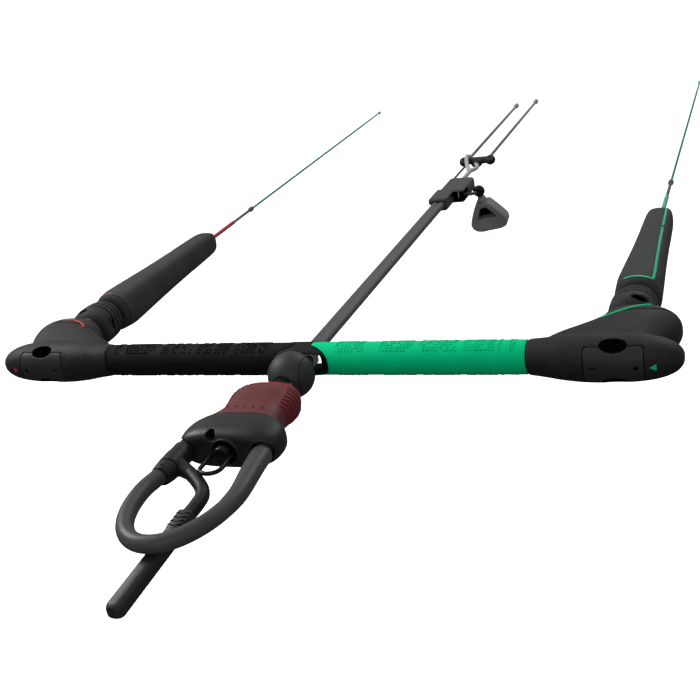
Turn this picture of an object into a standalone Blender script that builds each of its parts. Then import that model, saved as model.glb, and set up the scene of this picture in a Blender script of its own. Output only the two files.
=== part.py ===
"""Kitesurf control bar: the bar, its depower line, quick release, floats, trim cleat and first lines.

Metres, +Z up. The bar lies along X and the lines run towards +Y. The origin is the inner face of
the chicken loop's front, where the rider's harness hook bears. All the places below are given
from the bar's own axis, and HOOK_TO_BAR moves them into the part's frame.
"""
import math

import bmesh
import bpy
from mathutils import Vector

MM = 0.001
GAP = 0.3 * MM                    # clearance between pieces that touch

# Driving dimensions
HOOK_TO_BAR = 260.4 * MM          # hook seat to bar axis
LINE_X = 251 * MM                 # steering lines, left and right of the middle
FRONT_LINE_X = 13.3 * MM          # front lines, left and right of the middle

GRIP_R = 13.35 * MM
GRIP_END = 183 * MM               # where the grip meets the bar end
GRIP_BORE_R = 10.1 * MM
CORE_R = 9.8 * MM                 # carbon core tube inside the grip
CORE_BORE_R = 8.3 * MM
CORE_START, CORE_STOP = 26 * MM, 200 * MM

HUB_HALF_X, HUB_HALF_Z, HUB_POWER = 24 * MM, 12.8 * MM, 2.6
HUB_BRIDGE = 7.7 * MM             # half length of the hub's full-round middle
WINDOW_X, WINDOW_Z = 16 * MM, 7.5 * MM
SPIGOT_R, SPIGOT_END = 8.0 * MM, 42 * MM

LOBE_R = 3.75 * MM                # each tube of the twin depower line
LOBE_X = 3.65 * MM
WEB_Z = 2.6 * MM
TUBE_START, TUBE_STOP = -22.5 * MM, 420.5 * MM

BALL_Y, BALL_R = -31 * MM, 18.9 * MM
SPINDLE_R = 4.0 * MM

SLEEVE_Y0, SLEEVE_Y1 = -122.8 * MM, -66 * MM
SLEEVE_TRAVEL = 14 * MM
CORE_HALF_X, CORE_HALF_Z = 14 * MM, 7 * MM
SPRING_X, SPRING_COIL_R, SPRING_WIRE_R = 18.5 * MM, 2.3 * MM, 0.45 * MM
SPRING_TURNS = 6

HOUSING_Y0, HOUSING_Y1 = -153 * MM, -123.3 * MM
ARM_X = 31.5 * MM                 # straight left end of the chicken loop
RIGHT_ARM_X = 28.3 * MM           # and its right end
ARM_PIVOT_Y = -151.5 * MM
LOOP_R = 5.6 * MM
LOOP_HALF_X = 35 * MM
LOOP_BOW_Y = -205 * MM            # where the loop is widest
LOOP_FRONT_Y = -266 * MM

KEEPER_ROD_R = 5.8 * MM           # locking tube that keeps the hook in the loop
RING_WIRE_R = 1.6 * MM
RING_Y = -155.5 * MM              # hinge of the safety ring

KNUCKLE_Y = 52 * MM               # yaw pivot of the float knuckle
FLOAT_HINGE_Y = 104 * MM          # lift pivot of the float
FLOAT_START, FLOAT_SEAM, FLOAT_STOP = 108.5 * MM, 256 * MM, 327 * MM
LINE_SWING_Y = 325 * MM
LEADER_SLEEVE_R, LEADER_R, LINE_R = 2.2 * MM, 1.6 * MM, 1.2 * MM
LEADER_SLEEVE_STOP, KNOT_Y = 392 * MM, 446 * MM
STEERING_STOP = 964 * MM
FRONT_LINE_R = 1.9 * MM
FRONT_START = {-1: 622.8 * MM, 1: 603.4 * MM}
FRONT_STOP = {-1: 918 * MM, 1: 936 * MM}

CLEAT_Y0, CLEAT_Y1 = 412 * MM, 497 * MM
TRIM_TRAVEL = 40 * MM
ROPE_X, ROPE_Z, ROPE_R = 6 * MM, 3 * MM, 2.5 * MM
TAIL_X, TAIL_Z, TAIL_R = 18 * MM, -2 * MM, 1.8 * MM
SAFETY_X, SAFETY_Z, SAFETY_R = -10.6 * MM, -1 * MM, 1.3 * MM
SPLITTER_Y = 600 * MM
TOGGLE_X, TOGGLE_Y = 31.5 * MM, 475 * MM
TOGGLE_PIVOT_Z = -4.5 * MM
TOGGLE_LEAN = math.radians(10)    # the handle's foot hangs outwards
TOGGLE_SWING = math.radians(15)   # and towards the kite

# Colour, roughness, metallic of each look
LOOKS = {
    "grip_left": ((0.012, 0.012, 0.013), 0.75, 0.0),
    "grip_right": ((0.0, 0.33, 0.13), 0.7, 0.0),
    "soft_black": ((0.022, 0.022, 0.023), 0.6, 0.0),
    "insert": ((0.030, 0.030, 0.031), 0.5, 0.0),
    "carbon": ((0.02, 0.02, 0.02), 0.35, 0.0),
    "float": ((0.035, 0.036, 0.036), 0.7, 0.0),
    "red": ((0.40, 0.03, 0.035), 0.5, 0.0),
    "green": ((0.01, 0.37, 0.17), 0.5, 0.0),
    "release_red": ((0.13, 0.018, 0.020), 0.45, 0.0),
    "housing": ((0.045, 0.047, 0.047), 0.5, 0.0),
    "loop": ((0.04, 0.042, 0.041), 0.42, 0.0),
    "steel": ((0.5, 0.5, 0.5), 0.3, 1.0),
    "black_steel": ((0.02, 0.02, 0.02), 0.35, 0.6),
    "depower": ((0.13, 0.13, 0.13), 0.6, 0.0),
    "cleat": ((0.12, 0.12, 0.12), 0.55, 0.0),
    "rope": ((0.36, 0.37, 0.36), 0.85, 0.0),
    "line_grey": ((0.2, 0.2, 0.2), 0.8, 0.0),
    "line_green": ((0.02, 0.35, 0.18), 0.7, 0.0),
    "leader_red": ((0.38, 0.07, 0.075), 0.8, 0.0),
    "leader_green": ((0.10, 0.40, 0.26), 0.8, 0.0),
}

# Origin of each body, from the bar axis: a moving body's lies on its joint
BODIES = {
    "centre_line": (0, 0, 0),
    "swivel_ball": (0, BALL_Y, 0),
    "release_sleeve": (0, SLEEVE_Y0, 0),
    "chicken_loop": (RIGHT_ARM_X, ARM_PIVOT_Y, 0),
    "locking_tube": (-ARM_X, -172 * MM, 0),
    "safety_swivel": (0, -150 * MM, 0),
    "safety_ring": (0, RING_Y, 0),
    "hub_liner": (0, 0, 0),
    "bar": (0, 0, 0),
    "trim_lines": (ROPE_X, CLEAT_Y1, ROPE_Z),
    "trim_tail": (TAIL_X, CLEAT_Y1, TAIL_Z),
    "trim_toggle": (TOGGLE_X, TOGGLE_Y, TOGGLE_PIVOT_Z),
}
SIDES = {"left": -1, "right": 1}
for side_name, sign in SIDES.items():
    BODIES["size_insert_" + side_name] = (sign * 247 * MM, -10 * MM, 0)
    BODIES["knuckle_" + side_name] = (sign * LINE_X, KNUCKLE_Y, 0)
    BODIES["float_" + side_name] = (sign * LINE_X, FLOAT_HINGE_Y, 0)
    BODIES["line_" + side_name] = (sign * LINE_X, LINE_SWING_Y, 0)

AXIS_ALONG = {"X": Vector((1, 0, 0)), "Y": Vector((0, 1, 0)), "Z": Vector((0, 0, 1))}


# Scene set-up

def clear_scene():
    for obj in list(bpy.data.objects):
        bpy.data.objects.remove(obj, do_unlink=True)


def new_collection(name):
    found = bpy.data.collections.new(name)
    bpy.context.scene.collection.children.link(found)
    return found


def make_look(name):
    colour, roughness, metallic = LOOKS[name]
    look = bpy.data.materials.new(name)
    look.use_nodes = True
    shader = look.node_tree.nodes["Principled BSDF"]
    shader.inputs["Base Color"].default_value = (*colour, 1.0)
    shader.inputs["Roughness"].default_value = roughness
    shader.inputs["Metallic"].default_value = metallic
    return look


clear_scene()
PARTS = new_collection("kitesurf_control_bar")
CUTTERS = new_collection("cutters")
GUIDES = new_collection("bodies")
MATERIALS = {name: make_look(name) for name in LOOKS}
SHIFT = Vector((0, HOOK_TO_BAR, 0))


def make_guide(name):
    """An empty at a body's origin, which its pieces are parented to."""
    guide = bpy.data.objects.new("body_" + name, None)
    guide.location = SHIFT + Vector(BODIES[name])
    guide.empty_display_size = 0.01
    guide.hide_render = True
    GUIDES.objects.link(guide)
    return guide


GUIDE = {name: make_guide(name) for name in BODIES}
bpy.context.view_layer.update()


# Placing shapes

def mesh_of(bm, name):
    bmesh.ops.recalc_face_normals(bm, faces=bm.faces)
    mesh = bpy.data.meshes.new(name)
    bm.to_mesh(mesh)
    bm.free()
    return mesh


def piece(name, bm, look, body, angle=40):
    """One named part from a bmesh whose points are given from the bar axis."""
    bmesh.ops.translate(bm, verts=bm.verts, vec=-Vector(BODIES[body]))
    obj = bpy.data.objects.new(name, mesh_of(bm, name))
    obj.data.shade_smooth()
    obj.data.set_sharp_from_angle(angle=math.radians(angle))
    obj.data.materials.append(MATERIALS[look])
    obj.parent = GUIDE[body]
    PARTS.objects.link(obj)
    return obj


def tool(name, bm):
    """A shape that only cuts or joins others."""
    obj = bpy.data.objects.new(name, mesh_of(bm, name))
    obj.location = SHIFT
    obj.hide_render = True
    obj.display_type = "WIRE"
    CUTTERS.objects.link(obj)
    return obj


def combine(obj, other, operation):
    step = obj.modifiers.new(operation.lower(), "BOOLEAN")
    step.operation = operation
    step.solver = "EXACT"
    step.object = other
    return obj


def cut(obj, *shapes):
    for number, shape in enumerate(shapes):
        combine(obj, tool(f"{obj.name}_cut_{len(obj.modifiers)}_{number}", shape), "DIFFERENCE")
    return obj


def join(obj, *shapes):
    for number, shape in enumerate(shapes):
        combine(obj, tool(f"{obj.name}_join_{len(obj.modifiers)}_{number}", shape), "UNION")
    return obj


def keep(obj, shape):
    return combine(obj, tool(obj.name + "_keep", shape), "INTERSECT")


# Shapes: each gives a bmesh

def rod(start, end, radius, end_radius=None, segments=20):
    """A cylinder or cone between two points."""
    start, end = Vector(start), Vector(end)
    bm = bmesh.new()
    bmesh.ops.create_cone(bm, cap_ends=True, segments=segments, radius1=radius,
                          radius2=radius if end_radius is None else end_radius,
                          depth=(end - start).length)
    turn = AXIS_ALONG["Z"].rotation_difference(end - start).to_matrix()
    bmesh.ops.rotate(bm, verts=bm.verts, cent=(0, 0, 0), matrix=turn)
    bmesh.ops.translate(bm, verts=bm.verts, vec=(start + end) / 2)
    return bm


def pipe(start, end, radius, bore, segments=20):
    """A straight tube with a bore, as an outer and an inner wall joined by two rings."""
    bm = bmesh.new()
    start, end = Vector(start), Vector(end)
    turn = AXIS_ALONG["Z"].rotation_difference(end - start).to_matrix()
    rings = []
    for centre, size in ((start, radius), (end, radius), (end, bore), (start, bore)):
        found = bmesh.ops.create_circle(bm, segments=segments, radius=size)["verts"]
        bmesh.ops.rotate(bm, verts=found, cent=(0, 0, 0), matrix=turn)
        bmesh.ops.translate(bm, verts=found, vec=centre)
        rings.append(found)
    for one, other in zip(rings, rings[1:] + rings[:1]):
        for k in range(segments):
            bm.faces.new((one[k], one[(k + 1) % segments], other[(k + 1) % segments], other[k]))
    return bm


def ball(centre, radius, segments=24, rings=14, stretch=(1, 1, 1)):
    bm = bmesh.new()
    bmesh.ops.create_uvsphere(bm, u_segments=segments, v_segments=rings, radius=radius)
    bmesh.ops.scale(bm, vec=stretch, verts=bm.verts)
    bmesh.ops.translate(bm, verts=bm.verts, vec=centre)
    return bm


def block(low, high, bevel=0.0):
    low, high = Vector(low), Vector(high)
    bm = bmesh.new()
    bmesh.ops.create_cube(bm, size=1)
    bmesh.ops.scale(bm, vec=high - low, verts=bm.verts)
    bmesh.ops.translate(bm, verts=bm.verts, vec=(low + high) / 2)
    if bevel:
        bmesh.ops.bevel(bm, geom=bm.edges[:], offset=bevel, segments=1 if bevel < 2 * MM else 2, affect="EDGES", profile=0.5)
    return bm


def oval(centre, across, up, half_across, half_up, power=2.0, points=24):
    """A superellipse of points: power 2 is an ellipse, more is boxier."""
    found = []
    for k in range(points):
        turn = 2 * math.pi * (k + 0.5) / points
        c, s = math.cos(turn), math.sin(turn)
        found.append(Vector(centre)
                     + across * half_across * math.copysign(abs(c) ** (2 / power), c)
                     + up * half_up * math.copysign(abs(s) ** (2 / power), s))
    return found


def loft(outlines):
    """A closed skin over outlines that all have the same number of points."""
    bm = bmesh.new()
    rows = [[bm.verts.new(point) for point in outline] for outline in outlines]
    count = len(rows[0])
    for one, other in zip(rows, rows[1:]):
        for k in range(count):
            bm.faces.new((one[k], one[(k + 1) % count], other[(k + 1) % count], other[k]))
    bm.faces.new(rows[0])
    bm.faces.new(rows[-1])
    return bm


def loft_y(sections, power=2.0, points=24):
    """Sections (y, centre x, half x, half z) along Y."""
    return loft([oval((x, y, 0), AXIS_ALONG["X"], AXIS_ALONG["Z"], half_x, half_z, power, points)
                 for y, x, half_x, half_z in sections])


def oval_bar(half_across, half_up, start, stop, power, centre=(0, 0), points=24):
    """A straight bar along Y with an oval section."""
    x, z = centre
    return loft([oval((x, y, z), AXIS_ALONG["X"], AXIS_ALONG["Z"], half_across, half_up, power, points)
                 for y in (start, stop)])


def bent(points, radius, resolution=2, closed=False):
    """A round bar through the points, from a bevelled curve with filled caps."""
    curve = bpy.data.curves.new("bent", "CURVE")
    curve.dimensions = "3D"
    curve.bevel_depth = radius
    curve.bevel_resolution = resolution
    curve.use_fill_caps = True
    spline = curve.splines.new("POLY")
    spline.points.add(len(points) - 1)
    for target, point in zip(spline.points, points):
        target.co = (*point, 1)
    spline.use_cyclic_u = closed
    holder = bpy.data.objects.new("bent", curve)
    CUTTERS.objects.link(holder)
    mesh = bpy.data.meshes.new_from_object(holder.evaluated_get(bpy.context.evaluated_depsgraph_get()))
    bm = bmesh.new()
    bm.from_mesh(mesh)
    bmesh.ops.remove_doubles(bm, verts=bm.verts, dist=0.01 * MM)
    bpy.data.objects.remove(holder)
    bpy.data.curves.remove(curve)
    bpy.data.meshes.remove(mesh)
    return bm


def smooth_path(knots, steps):
    """Points along a Catmull-Rom curve through the knots, with this many steps to each."""
    knots = [Vector(knot) for knot in knots]
    padded = [2 * knots[0] - knots[1]] + knots + [2 * knots[-1] - knots[-2]]
    found = []
    for a, b, c, d in zip(padded, padded[1:], padded[2:], padded[3:]):
        for k in range(steps):
            t = k / steps
            found.append(0.5 * (2 * b + (c - a) * t + (2 * a - 5 * b + 4 * c - d) * t ** 2
                                + (3 * b - a - 3 * c + d) * t ** 3))
    return found + [knots[-1]]


def straight_path(start, end, steps):
    start, end = Vector(start), Vector(end)
    return [start.lerp(end, k / steps) for k in range(steps + 1)]


# The bar

def hub_outline(grow):
    """The oval surround of the hub's window, which the grips stop at."""
    return oval_bar(HUB_HALF_X + grow, HUB_HALF_Z + grow, -20 * MM, 20 * MM, HUB_POWER)


def make_hub():
    hub = piece("centre_hub", rod((-HUB_HALF_X, 0, 0), (HUB_HALF_X, 0, 0), GRIP_R + 0.5 * MM, segments=32),
                "soft_black", "bar")
    keep(hub, hub_outline(0))
    join(hub, rod((-HUB_BRIDGE, 0, 0), (HUB_BRIDGE, 0, 0), GRIP_R, segments=32))
    join(hub, rod((-SPIGOT_END, 0, 0), (SPIGOT_END, 0, 0), SPIGOT_R))
    cut(hub, oval_bar(WINDOW_X, WINDOW_Z, -20 * MM, 20 * MM, 4))
    flare = [(-16, 24.0, 11.8), (-13, 22.6, 10.4), (-11, 20.8, 9.2), (-6, WINDOW_X / MM, WINDOW_Z / MM)]
    for facing in (1, -1):
        cut(hub, loft_y([(facing * y * MM, 0, x * MM, z * MM) for y, x, z in flare], power=4))


def make_core_and_grip(name, side):
    piece("core_tube_" + name, pipe((side * CORE_START, 0, 0), (side * CORE_STOP, 0, 0), CORE_R, CORE_BORE_R),
          "carbon", "bar")
    start = HUB_BRIDGE + GAP
    grip = piece("grip_" + name, pipe((side * start, 0, 0), (side * GRIP_END, 0, 0), GRIP_R, GRIP_BORE_R, 32),
                 "grip_" + name, "bar")
    cut(grip, hub_outline(GAP))


def end_lobe(side, grow=0.0):
    """The rounded nose that carries on from the grip: half sizes at each place along X."""
    sizes = [(183.3, 13.45, 13.45), (196, 15.0, 14.8), (210, 16.9, 16.8), (228, 18.2, 18.0),
             (246, 18.4, 18.0), (262, 18.1, 17.2), (274, 17.2, 15.6), (283, 15.2, 13.2),
             (290, 11.6, 10.0), (294, 7.6, 6.2), (295.6, 4.0, 3.2)]
    outlines = []
    for x, half_y, half_z in sizes:
        lean = -0.7 * MM * min(1.0, (x - 183.3) / 40)
        outlines.append(oval((side * x * MM, lean, lean), AXIS_ALONG["Y"], AXIS_ALONG["Z"],
                             half_y * MM + grow, half_z * MM + grow, 2.15, 28))
    return loft(outlines)


def end_shoulder(side):
    """The shoulder that turns back from the nose to the float: x range and half height along Y."""
    rows = [(-4, 194, 272, 13.0), (8, 188, 277, 15.8), (18, 194, 282.5, 16.8), (28, 207, 287.5, 17.6),
            (38, 219, 290.5, 18.2), (48, 227, 291, 18.3), (55, 229.5, 286.5, 17.8), (58, 231, 280, 16.8)]
    return loft([oval((side * (low + high) / 2 * MM, y * MM, 0), AXIS_ALONG["X"], AXIS_ALONG["Z"],
                      (high - low) / 2 * MM, half_z * MM, 2.5, 28) for y, low, high, half_z in rows])


def behind_seam(side, offset):
    """Everything on the line side of the slanting seam between the bar end and its collar."""
    seam = [(side * x * MM, y * MM + offset) for x, y in ((184, 38), (310, 52))]
    far = 120 * MM
    outline = [Vector((*seam[0], 0)), Vector((*seam[1], 0)),
               Vector((seam[1][0], far, 0)), Vector((seam[0][0], far, 0))]
    return loft([[point + Vector((0, 0, z)) for point in outline] for z in (-40 * MM, 40 * MM)])


def insert_pocket(side, gap):
    """The room in the bar end's front that the size insert fills."""
    low, high = sorted((side * (226 * MM - gap), side * (268.6 * MM + gap)))
    return block((low, -40 * MM, -13 * MM - gap), (high, -6 * MM + gap, 13 * MM + gap), 1.5 * MM)


def thumb_recess(side, up):
    return ball((side * 247.4 * MM, -12.4 * MM, up * 14.6 * MM), 1.0, 24, 14,
                (9.6 * MM, 6.5 * MM, 5.2 * MM))


def pointer_prism(side, front, back, grow):
    """The triangle that points at the insert's mark."""
    apex, base, half = 272.6 * MM - 2 * grow, 277.4 * MM + grow, 2.6 * MM + 1.5 * grow
    outline = [(side * apex, 0), (side * base, half), (side * base, -half)]
    return loft([[Vector((x, y, z - 1 * MM)) for x, z in outline] for y in (front, back)])


def knuckle_room(side):
    """The cup and flare in the collar that the knuckle turns in."""
    x = side * LINE_X
    return [ball((x, KNUCKLE_Y, 0), 14.4 * MM),
            rod((x, KNUCKLE_Y, 0), (x, 60 * MM, 0), 14.3 * MM, 18.5 * MM)]


def knuckle_pin_room(side, radius):
    return rod((side * LINE_X, KNUCKLE_Y, -16 * MM), (side * LINE_X, KNUCKLE_Y, 16 * MM), radius, segments=20)


def make_bar_end(name, side):
    end = piece("bar_end_" + name, end_lobe(side), "soft_black", "bar")
    join(end, end_shoulder(side))
    cut(end, behind_seam(side, 0), insert_pocket(side, GAP), thumb_recess(side, 1), thumb_recess(side, -1))
    cut(end, pointer_prism(side, -25 * MM, -15.2 * MM, GAP), knuckle_room(side)[0])
    cut(end, rod((side * 180 * MM, 0, 0), (side * (CORE_STOP + GAP), 0, 0), GRIP_BORE_R))

    collar = piece("end_collar_" + name, end_shoulder(side), "soft_black", "bar")
    keep(collar, behind_seam(side, GAP))
    cut(collar, *knuckle_room(side), knuckle_pin_room(side, 2.8 * MM))

    insert = piece("size_insert_" + name, end_lobe(side), "insert", "size_insert_" + name)
    keep(insert, insert_pocket(side, 0))
    cut(insert, thumb_recess(side, 1), thumb_recess(side, -1))

    colour = "red" if side < 0 else "green"
    piece("pointer_" + name, pointer_prism(side, -17.3 * MM, -15.5 * MM, 0), colour, "bar")


# The floats

def soft_square(y, x, radius, points=24):
    """Four crowned faces that meet in soft edges at 45 degrees."""
    found = []
    for k in range(points):
        turn = 2 * math.pi * (k + 0.5) / points
        reach = radius * (1.0 - 0.045 * math.cos(4 * turn))
        found.append(Vector((x + reach * math.cos(turn), y, reach * math.sin(turn))))
    return found


def make_float(name, side):
    x = side * LINE_X
    knuckle = piece("float_knuckle_" + name, ball((x, KNUCKLE_Y, 0), 14 * MM), "float", "knuckle_" + name)
    body = [(50, 12.4), (62.5, 12.6), (66.5, 16.8), (71, 19.2), (84, 19.6), (94, 18.8), (99, 17.4), (100, 16.2)]
    join(knuckle, loft([soft_square(y * MM, x, radius * MM) for y, radius in body]))
    cut(knuckle, knuckle_pin_room(side, 2.8 * MM))
    cut(knuckle, ball((x, FLOAT_HINGE_Y, 0), 11.6 * MM))
    piece("knuckle_pin_" + name, knuckle_pin_room(side, 2.5 * MM), "steel", "bar")

    neck = piece("float_neck_" + name, ball((x, FLOAT_HINGE_Y, 0), 11.2 * MM), "soft_black", "float_" + name)
    join(neck, rod((x, FLOAT_HINGE_Y, 0), (x, 122 * MM, 0), 7.6 * MM))

    outline = [(FLOAT_START / MM, 16.8), (112, 19.0), (125, 19.6), (150, 18.7), (180, 17.4),
               (215, 16.0), (FLOAT_SEAM / MM, 14.8)]
    body = piece("float_" + name, loft([soft_square(y * MM, x, radius * MM) for y, radius in outline]),
                 "float", "float_" + name)
    cut(body, ball((x, FLOAT_HINGE_Y, 0), 11.6 * MM),
        rod((x, FLOAT_HINGE_Y, 0), (x, 122.3 * MM, 0), 7.9 * MM))
    outline = [(FLOAT_SEAM / MM + 0.3, 14.8), (292, 14.1), (309, 13.5), (318, 12.5), (324, 10.3),
               (FLOAT_STOP / MM, 7.8)]
    cap = piece("float_cap_" + name, loft([soft_square(y * MM, x, radius * MM) for y, radius in outline]),
                "float", "float_" + name)
    cut(cap, rod((x, FLOAT_STOP - 6.5 * MM, 0), (x, FLOAT_STOP + 4 * MM, 0), 3.8 * MM, segments=20))


def make_steering_line(name, side):
    x = side * LINE_X
    body = "line_" + name
    colour = "leader_red" if side < 0 else "leader_green"
    stops = [(FLOAT_STOP - 5 * MM, LEADER_SLEEVE_STOP, LEADER_SLEEVE_R, "leader_sleeve_", colour, 4),
             (LEADER_SLEEVE_STOP, KNOT_Y, LEADER_R, "leader_", "line_grey", 4),
             (KNOT_Y, STEERING_STOP, LINE_R, "flying_line_", "line_green", 12)]
    for start, stop, radius, title, look, steps in stops:
        path = straight_path((x, start + GAP, 0), (x, stop - GAP, 0), steps)
        piece(title + name, bent(path, radius), look, body)


# The depower line, the ball and the quick release

def make_depower_tube():
    start = math.pi - math.asin(WEB_Z / LOBE_R)
    turns = [start * (2 * k / 14 - 1) for k in range(15)]
    right = [(LOBE_X + LOBE_R * math.cos(t), LOBE_R * math.sin(t)) for t in turns]
    outline = right + [(-x, -z) for x, z in right]
    sections = [[Vector((x, y, z)) for x, z in outline] for y in (TUBE_START, TUBE_STOP)]
    piece("depower_tube", loft(sections), "depower", "centre_line")


def make_ball():
    swivel = piece("swivel_ball", ball((0, BALL_Y, 0), BALL_R, 32, 18), "housing", "swivel_ball")
    cut(swivel, rod((0, -26 * MM, 0), (0, 0, 0), 8.6 * MM),
        rod((0, -60 * MM, 0), (0, -20 * MM, 0), SPINDLE_R + 0.4 * MM),
        rod((0, -52 * MM, 0), (0, -47.5 * MM, 0), 8 * MM, 7 * MM))
    spindle = piece("swivel_spindle", rod((0, -70 * MM, 0), (0, -23 * MM, 0), SPINDLE_R), "steel",
                    "centre_line")
    join(spindle, rod((0, -25.7 * MM, 0), (0, -23 * MM, 0), 7 * MM))
    piece("neck_bearing", pipe((0, -57.7 * MM, 0), (0, -50.3 * MM, 0), 6.6 * MM, SPINDLE_R + GAP, 28),
          "soft_black", "centre_line")


def make_release_core():
    core = piece("release_core", oval_bar(CORE_HALF_X, CORE_HALF_Z, -123 * MM, -58 * MM, 5), "black_steel",
                 "centre_line")
    join(core, oval_bar(21.6 * MM, 5 * MM, -72 * MM, -69 * MM, 5))
    cut(core, rod((0, -70.4 * MM, 0), (0, -50 * MM, 0), SPINDLE_R + GAP))


def make_release_sleeve():
    outline = [(-122.8, 32.4, 15.2), (-119, 30.0, 15.0), (-114, 27.0, 14.8), (-106, 24.8, 14.6),
               (-97, 25.2, 14.9), (-89, 26.8, 15.4), (-82, 27.2, 15.5), (-75.5, 25.8, 14.8),
               (-72, 24.2, 13.4), (-70.5, 22.8, 11.8)]
    sleeve = piece("release_sleeve", loft_y([(y * MM, 0, a * MM, b * MM) for y, a, b in outline], 2.7, 28),
                   "release_red", "release_sleeve")
    cut(sleeve, oval_bar(CORE_HALF_X + 0.7 * MM, CORE_HALF_Z + 0.6 * MM, -130 * MM, -60 * MM, 5),
        oval_bar(22.2 * MM, CORE_HALF_Z + 0.6 * MM, -86.5 * MM, -60 * MM, 5))
    for side in (-1, 1):
        x = side * SPRING_X
        cut(sleeve, rod((x, -98 * MM, 0), (x, -80 * MM, 0), 3.2 * MM, segments=20))
    cut(sleeve, rod((-20 * MM, -130 * MM, 0), (-20 * MM, -100.5 * MM, 0), 2.1 * MM, segments=16))
    piece("release_pin", rod((-20 * MM, -138 * MM, 0), (-20 * MM, -100.8 * MM, 0), 1.8 * MM, segments=16),
          "steel", "release_sleeve")


def make_sleeve_spring(name, side):
    """A helix between the core's flange and the bottom of its pocket in the sleeve."""
    low, high = -97 * MM, -73 * MM
    steps = SPRING_TURNS * 8
    coil = []
    for k in range(steps + 1):
        turn = 2 * math.pi * k / 8
        coil.append((side * SPRING_X + SPRING_COIL_R * math.cos(turn), low + (high - low) * k / steps,
                     SPRING_COIL_R * math.sin(turn)))
    piece("sleeve_spring_" + name, bent(coil, SPRING_WIRE_R, 0), "steel", "centre_line")


def make_housing():
    outline = [(-154, 30.0, 9.6), (-152.6, 34.2, 12.4), (-150, 37.0, 14.2), (-145, 38.5, 15.3),
               (-138, 38.9, 15.7), (-131, 37.8, 15.7), (-126, 35.2, 15.4), (-123.3, 33.0, 15.2)]
    housing = piece("qr_housing", loft_y([(y * MM, 0, a * MM, b * MM) for y, a, b in outline], 2.8, 32),
                    "housing", "centre_line")
    cut(housing, rod((RIGHT_ARM_X, -160 * MM, 0), (RIGHT_ARM_X, -143 * MM, 0), 8.2 * MM),
        rod((-ARM_X, -160 * MM, 0), (-ARM_X, -143 * MM, 0), 7.6 * MM),
        block((-35.2 * MM, -150 * MM, -3.6 * MM), (-27.8 * MM, -130 * MM, 3.6 * MM)),
        rod((0, -160 * MM, 0), (0, -146 * MM, 0), 9.2 * MM),
        rod((-20 * MM, -143 * MM, 0), (-20 * MM, -120 * MM, 0), 2.2 * MM, segments=16),
        rod((-9.5 * MM, -160 * MM, 13.4 * MM), (-9.5 * MM, -141 * MM, 9.6 * MM), 3.2 * MM, segments=16))


def loop_path(start, stop):
    """The loop's centre line from one straight end round the front to the other."""
    right = [(RIGHT_ARM_X, start, 0), (RIGHT_ARM_X + 0.1 * MM, -166 * MM, 0), (29.7 * MM, -178 * MM, 0),
             (32.4 * MM, -191 * MM, 0)]
    left = [(-ARM_X * 1.07, -191 * MM, 0), (-ARM_X * 1.02, -178 * MM, 0), (-ARM_X, -166 * MM, 0),
            (-ARM_X, stop, 0)]
    front = []
    for k in range(1, 12):
        turn = math.pi * k / 12
        front.append((LOOP_HALF_X * math.cos(turn), LOOP_BOW_Y + (LOOP_FRONT_Y - LOOP_BOW_Y) * math.sin(turn), 0))
    widest = (LOOP_HALF_X, LOOP_BOW_Y, 0)
    return smooth_path(right + [widest] + front + [(-widest[0], widest[1], 0)] + left, 2)


def make_chicken_loop():
    loop = piece("chicken_loop", bent(loop_path(-148 * MM, -148 * MM), LOOP_R, 3), "loop", "chicken_loop")
    swell = [(-155, 6.5, 6.1), (-163, 6.6, 6.1), (-171, 5.9, 5.7), (-175, 4.8, 4.8)]
    join(loop, loft_y([(y * MM, RIGHT_ARM_X + 0.2 * MM, a * MM, b * MM) for y, a, b in swell], 2.2, 20))
    x = -ARM_X
    bore = LOOP_R + GAP
    piece("loop_collar", pipe((x, -165 * MM, 0), (x, -148 * MM, 0), 7.2 * MM, bore), "loop", "chicken_loop")
    tongue = piece("loop_tongue", block((-32.4 * MM, -147.6 * MM, -3 * MM), (-28.6 * MM, -133.5 * MM, 3 * MM),
                                        0.8 * MM), "steel", "chicken_loop")
    join(tongue, rod((x, -147.6 * MM, 0), (x, -145.2 * MM, 0), 7 * MM))
    cap = piece("loop_cap", rod((x - 0.8 * MM, -192 * MM, 0), (x, -179.7 * MM, 0), 7.2 * MM, 8.5 * MM), "loop",
                "chicken_loop")
    cut(cap, bent(loop_path(-148 * MM, -148 * MM), bore, 3))


def make_locking_tube():
    """The keeper: a ring that turns on the loop's left arm, a bent arm and a straight rod."""
    x = -ARM_X
    ring = piece("locking_arm", rod((x, -178.7 * MM, 0), (x, -165.3 * MM, 0), 8.6 * MM), "loop",
                 "locking_tube")
    knots = [(-27, -172, -1.5), (-17, -178.5, -4), (-6, -189, -6.8), (0.5, -198, -8), (2, -208, -9.2), (2, -219, -10.3)]
    join(ring, bent(smooth_path([(px * MM, py * MM, pz * MM) for px, py, pz in knots], 4), 4.5 * MM, 2))
    cut(ring, rod((x, -180 * MM, 0), (x, -164 * MM, 0), 7.0 * MM, 6.0 * MM))

    start, tip = Vector((2, -219.4, -10.3)) * MM, Vector((2, -315, -14.6)) * MM
    keeper = piece("keeper_rod", rod(start, start.lerp(tip, 0.97), KEEPER_ROD_R), "loop", "locking_tube")
    join(keeper, rod(start, start.lerp(tip, 0.2), 6.3 * MM, 5.9 * MM),
         rod(start.lerp(tip, 0.95), tip, KEEPER_ROD_R - 0.05 * MM, 3.6 * MM))


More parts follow.
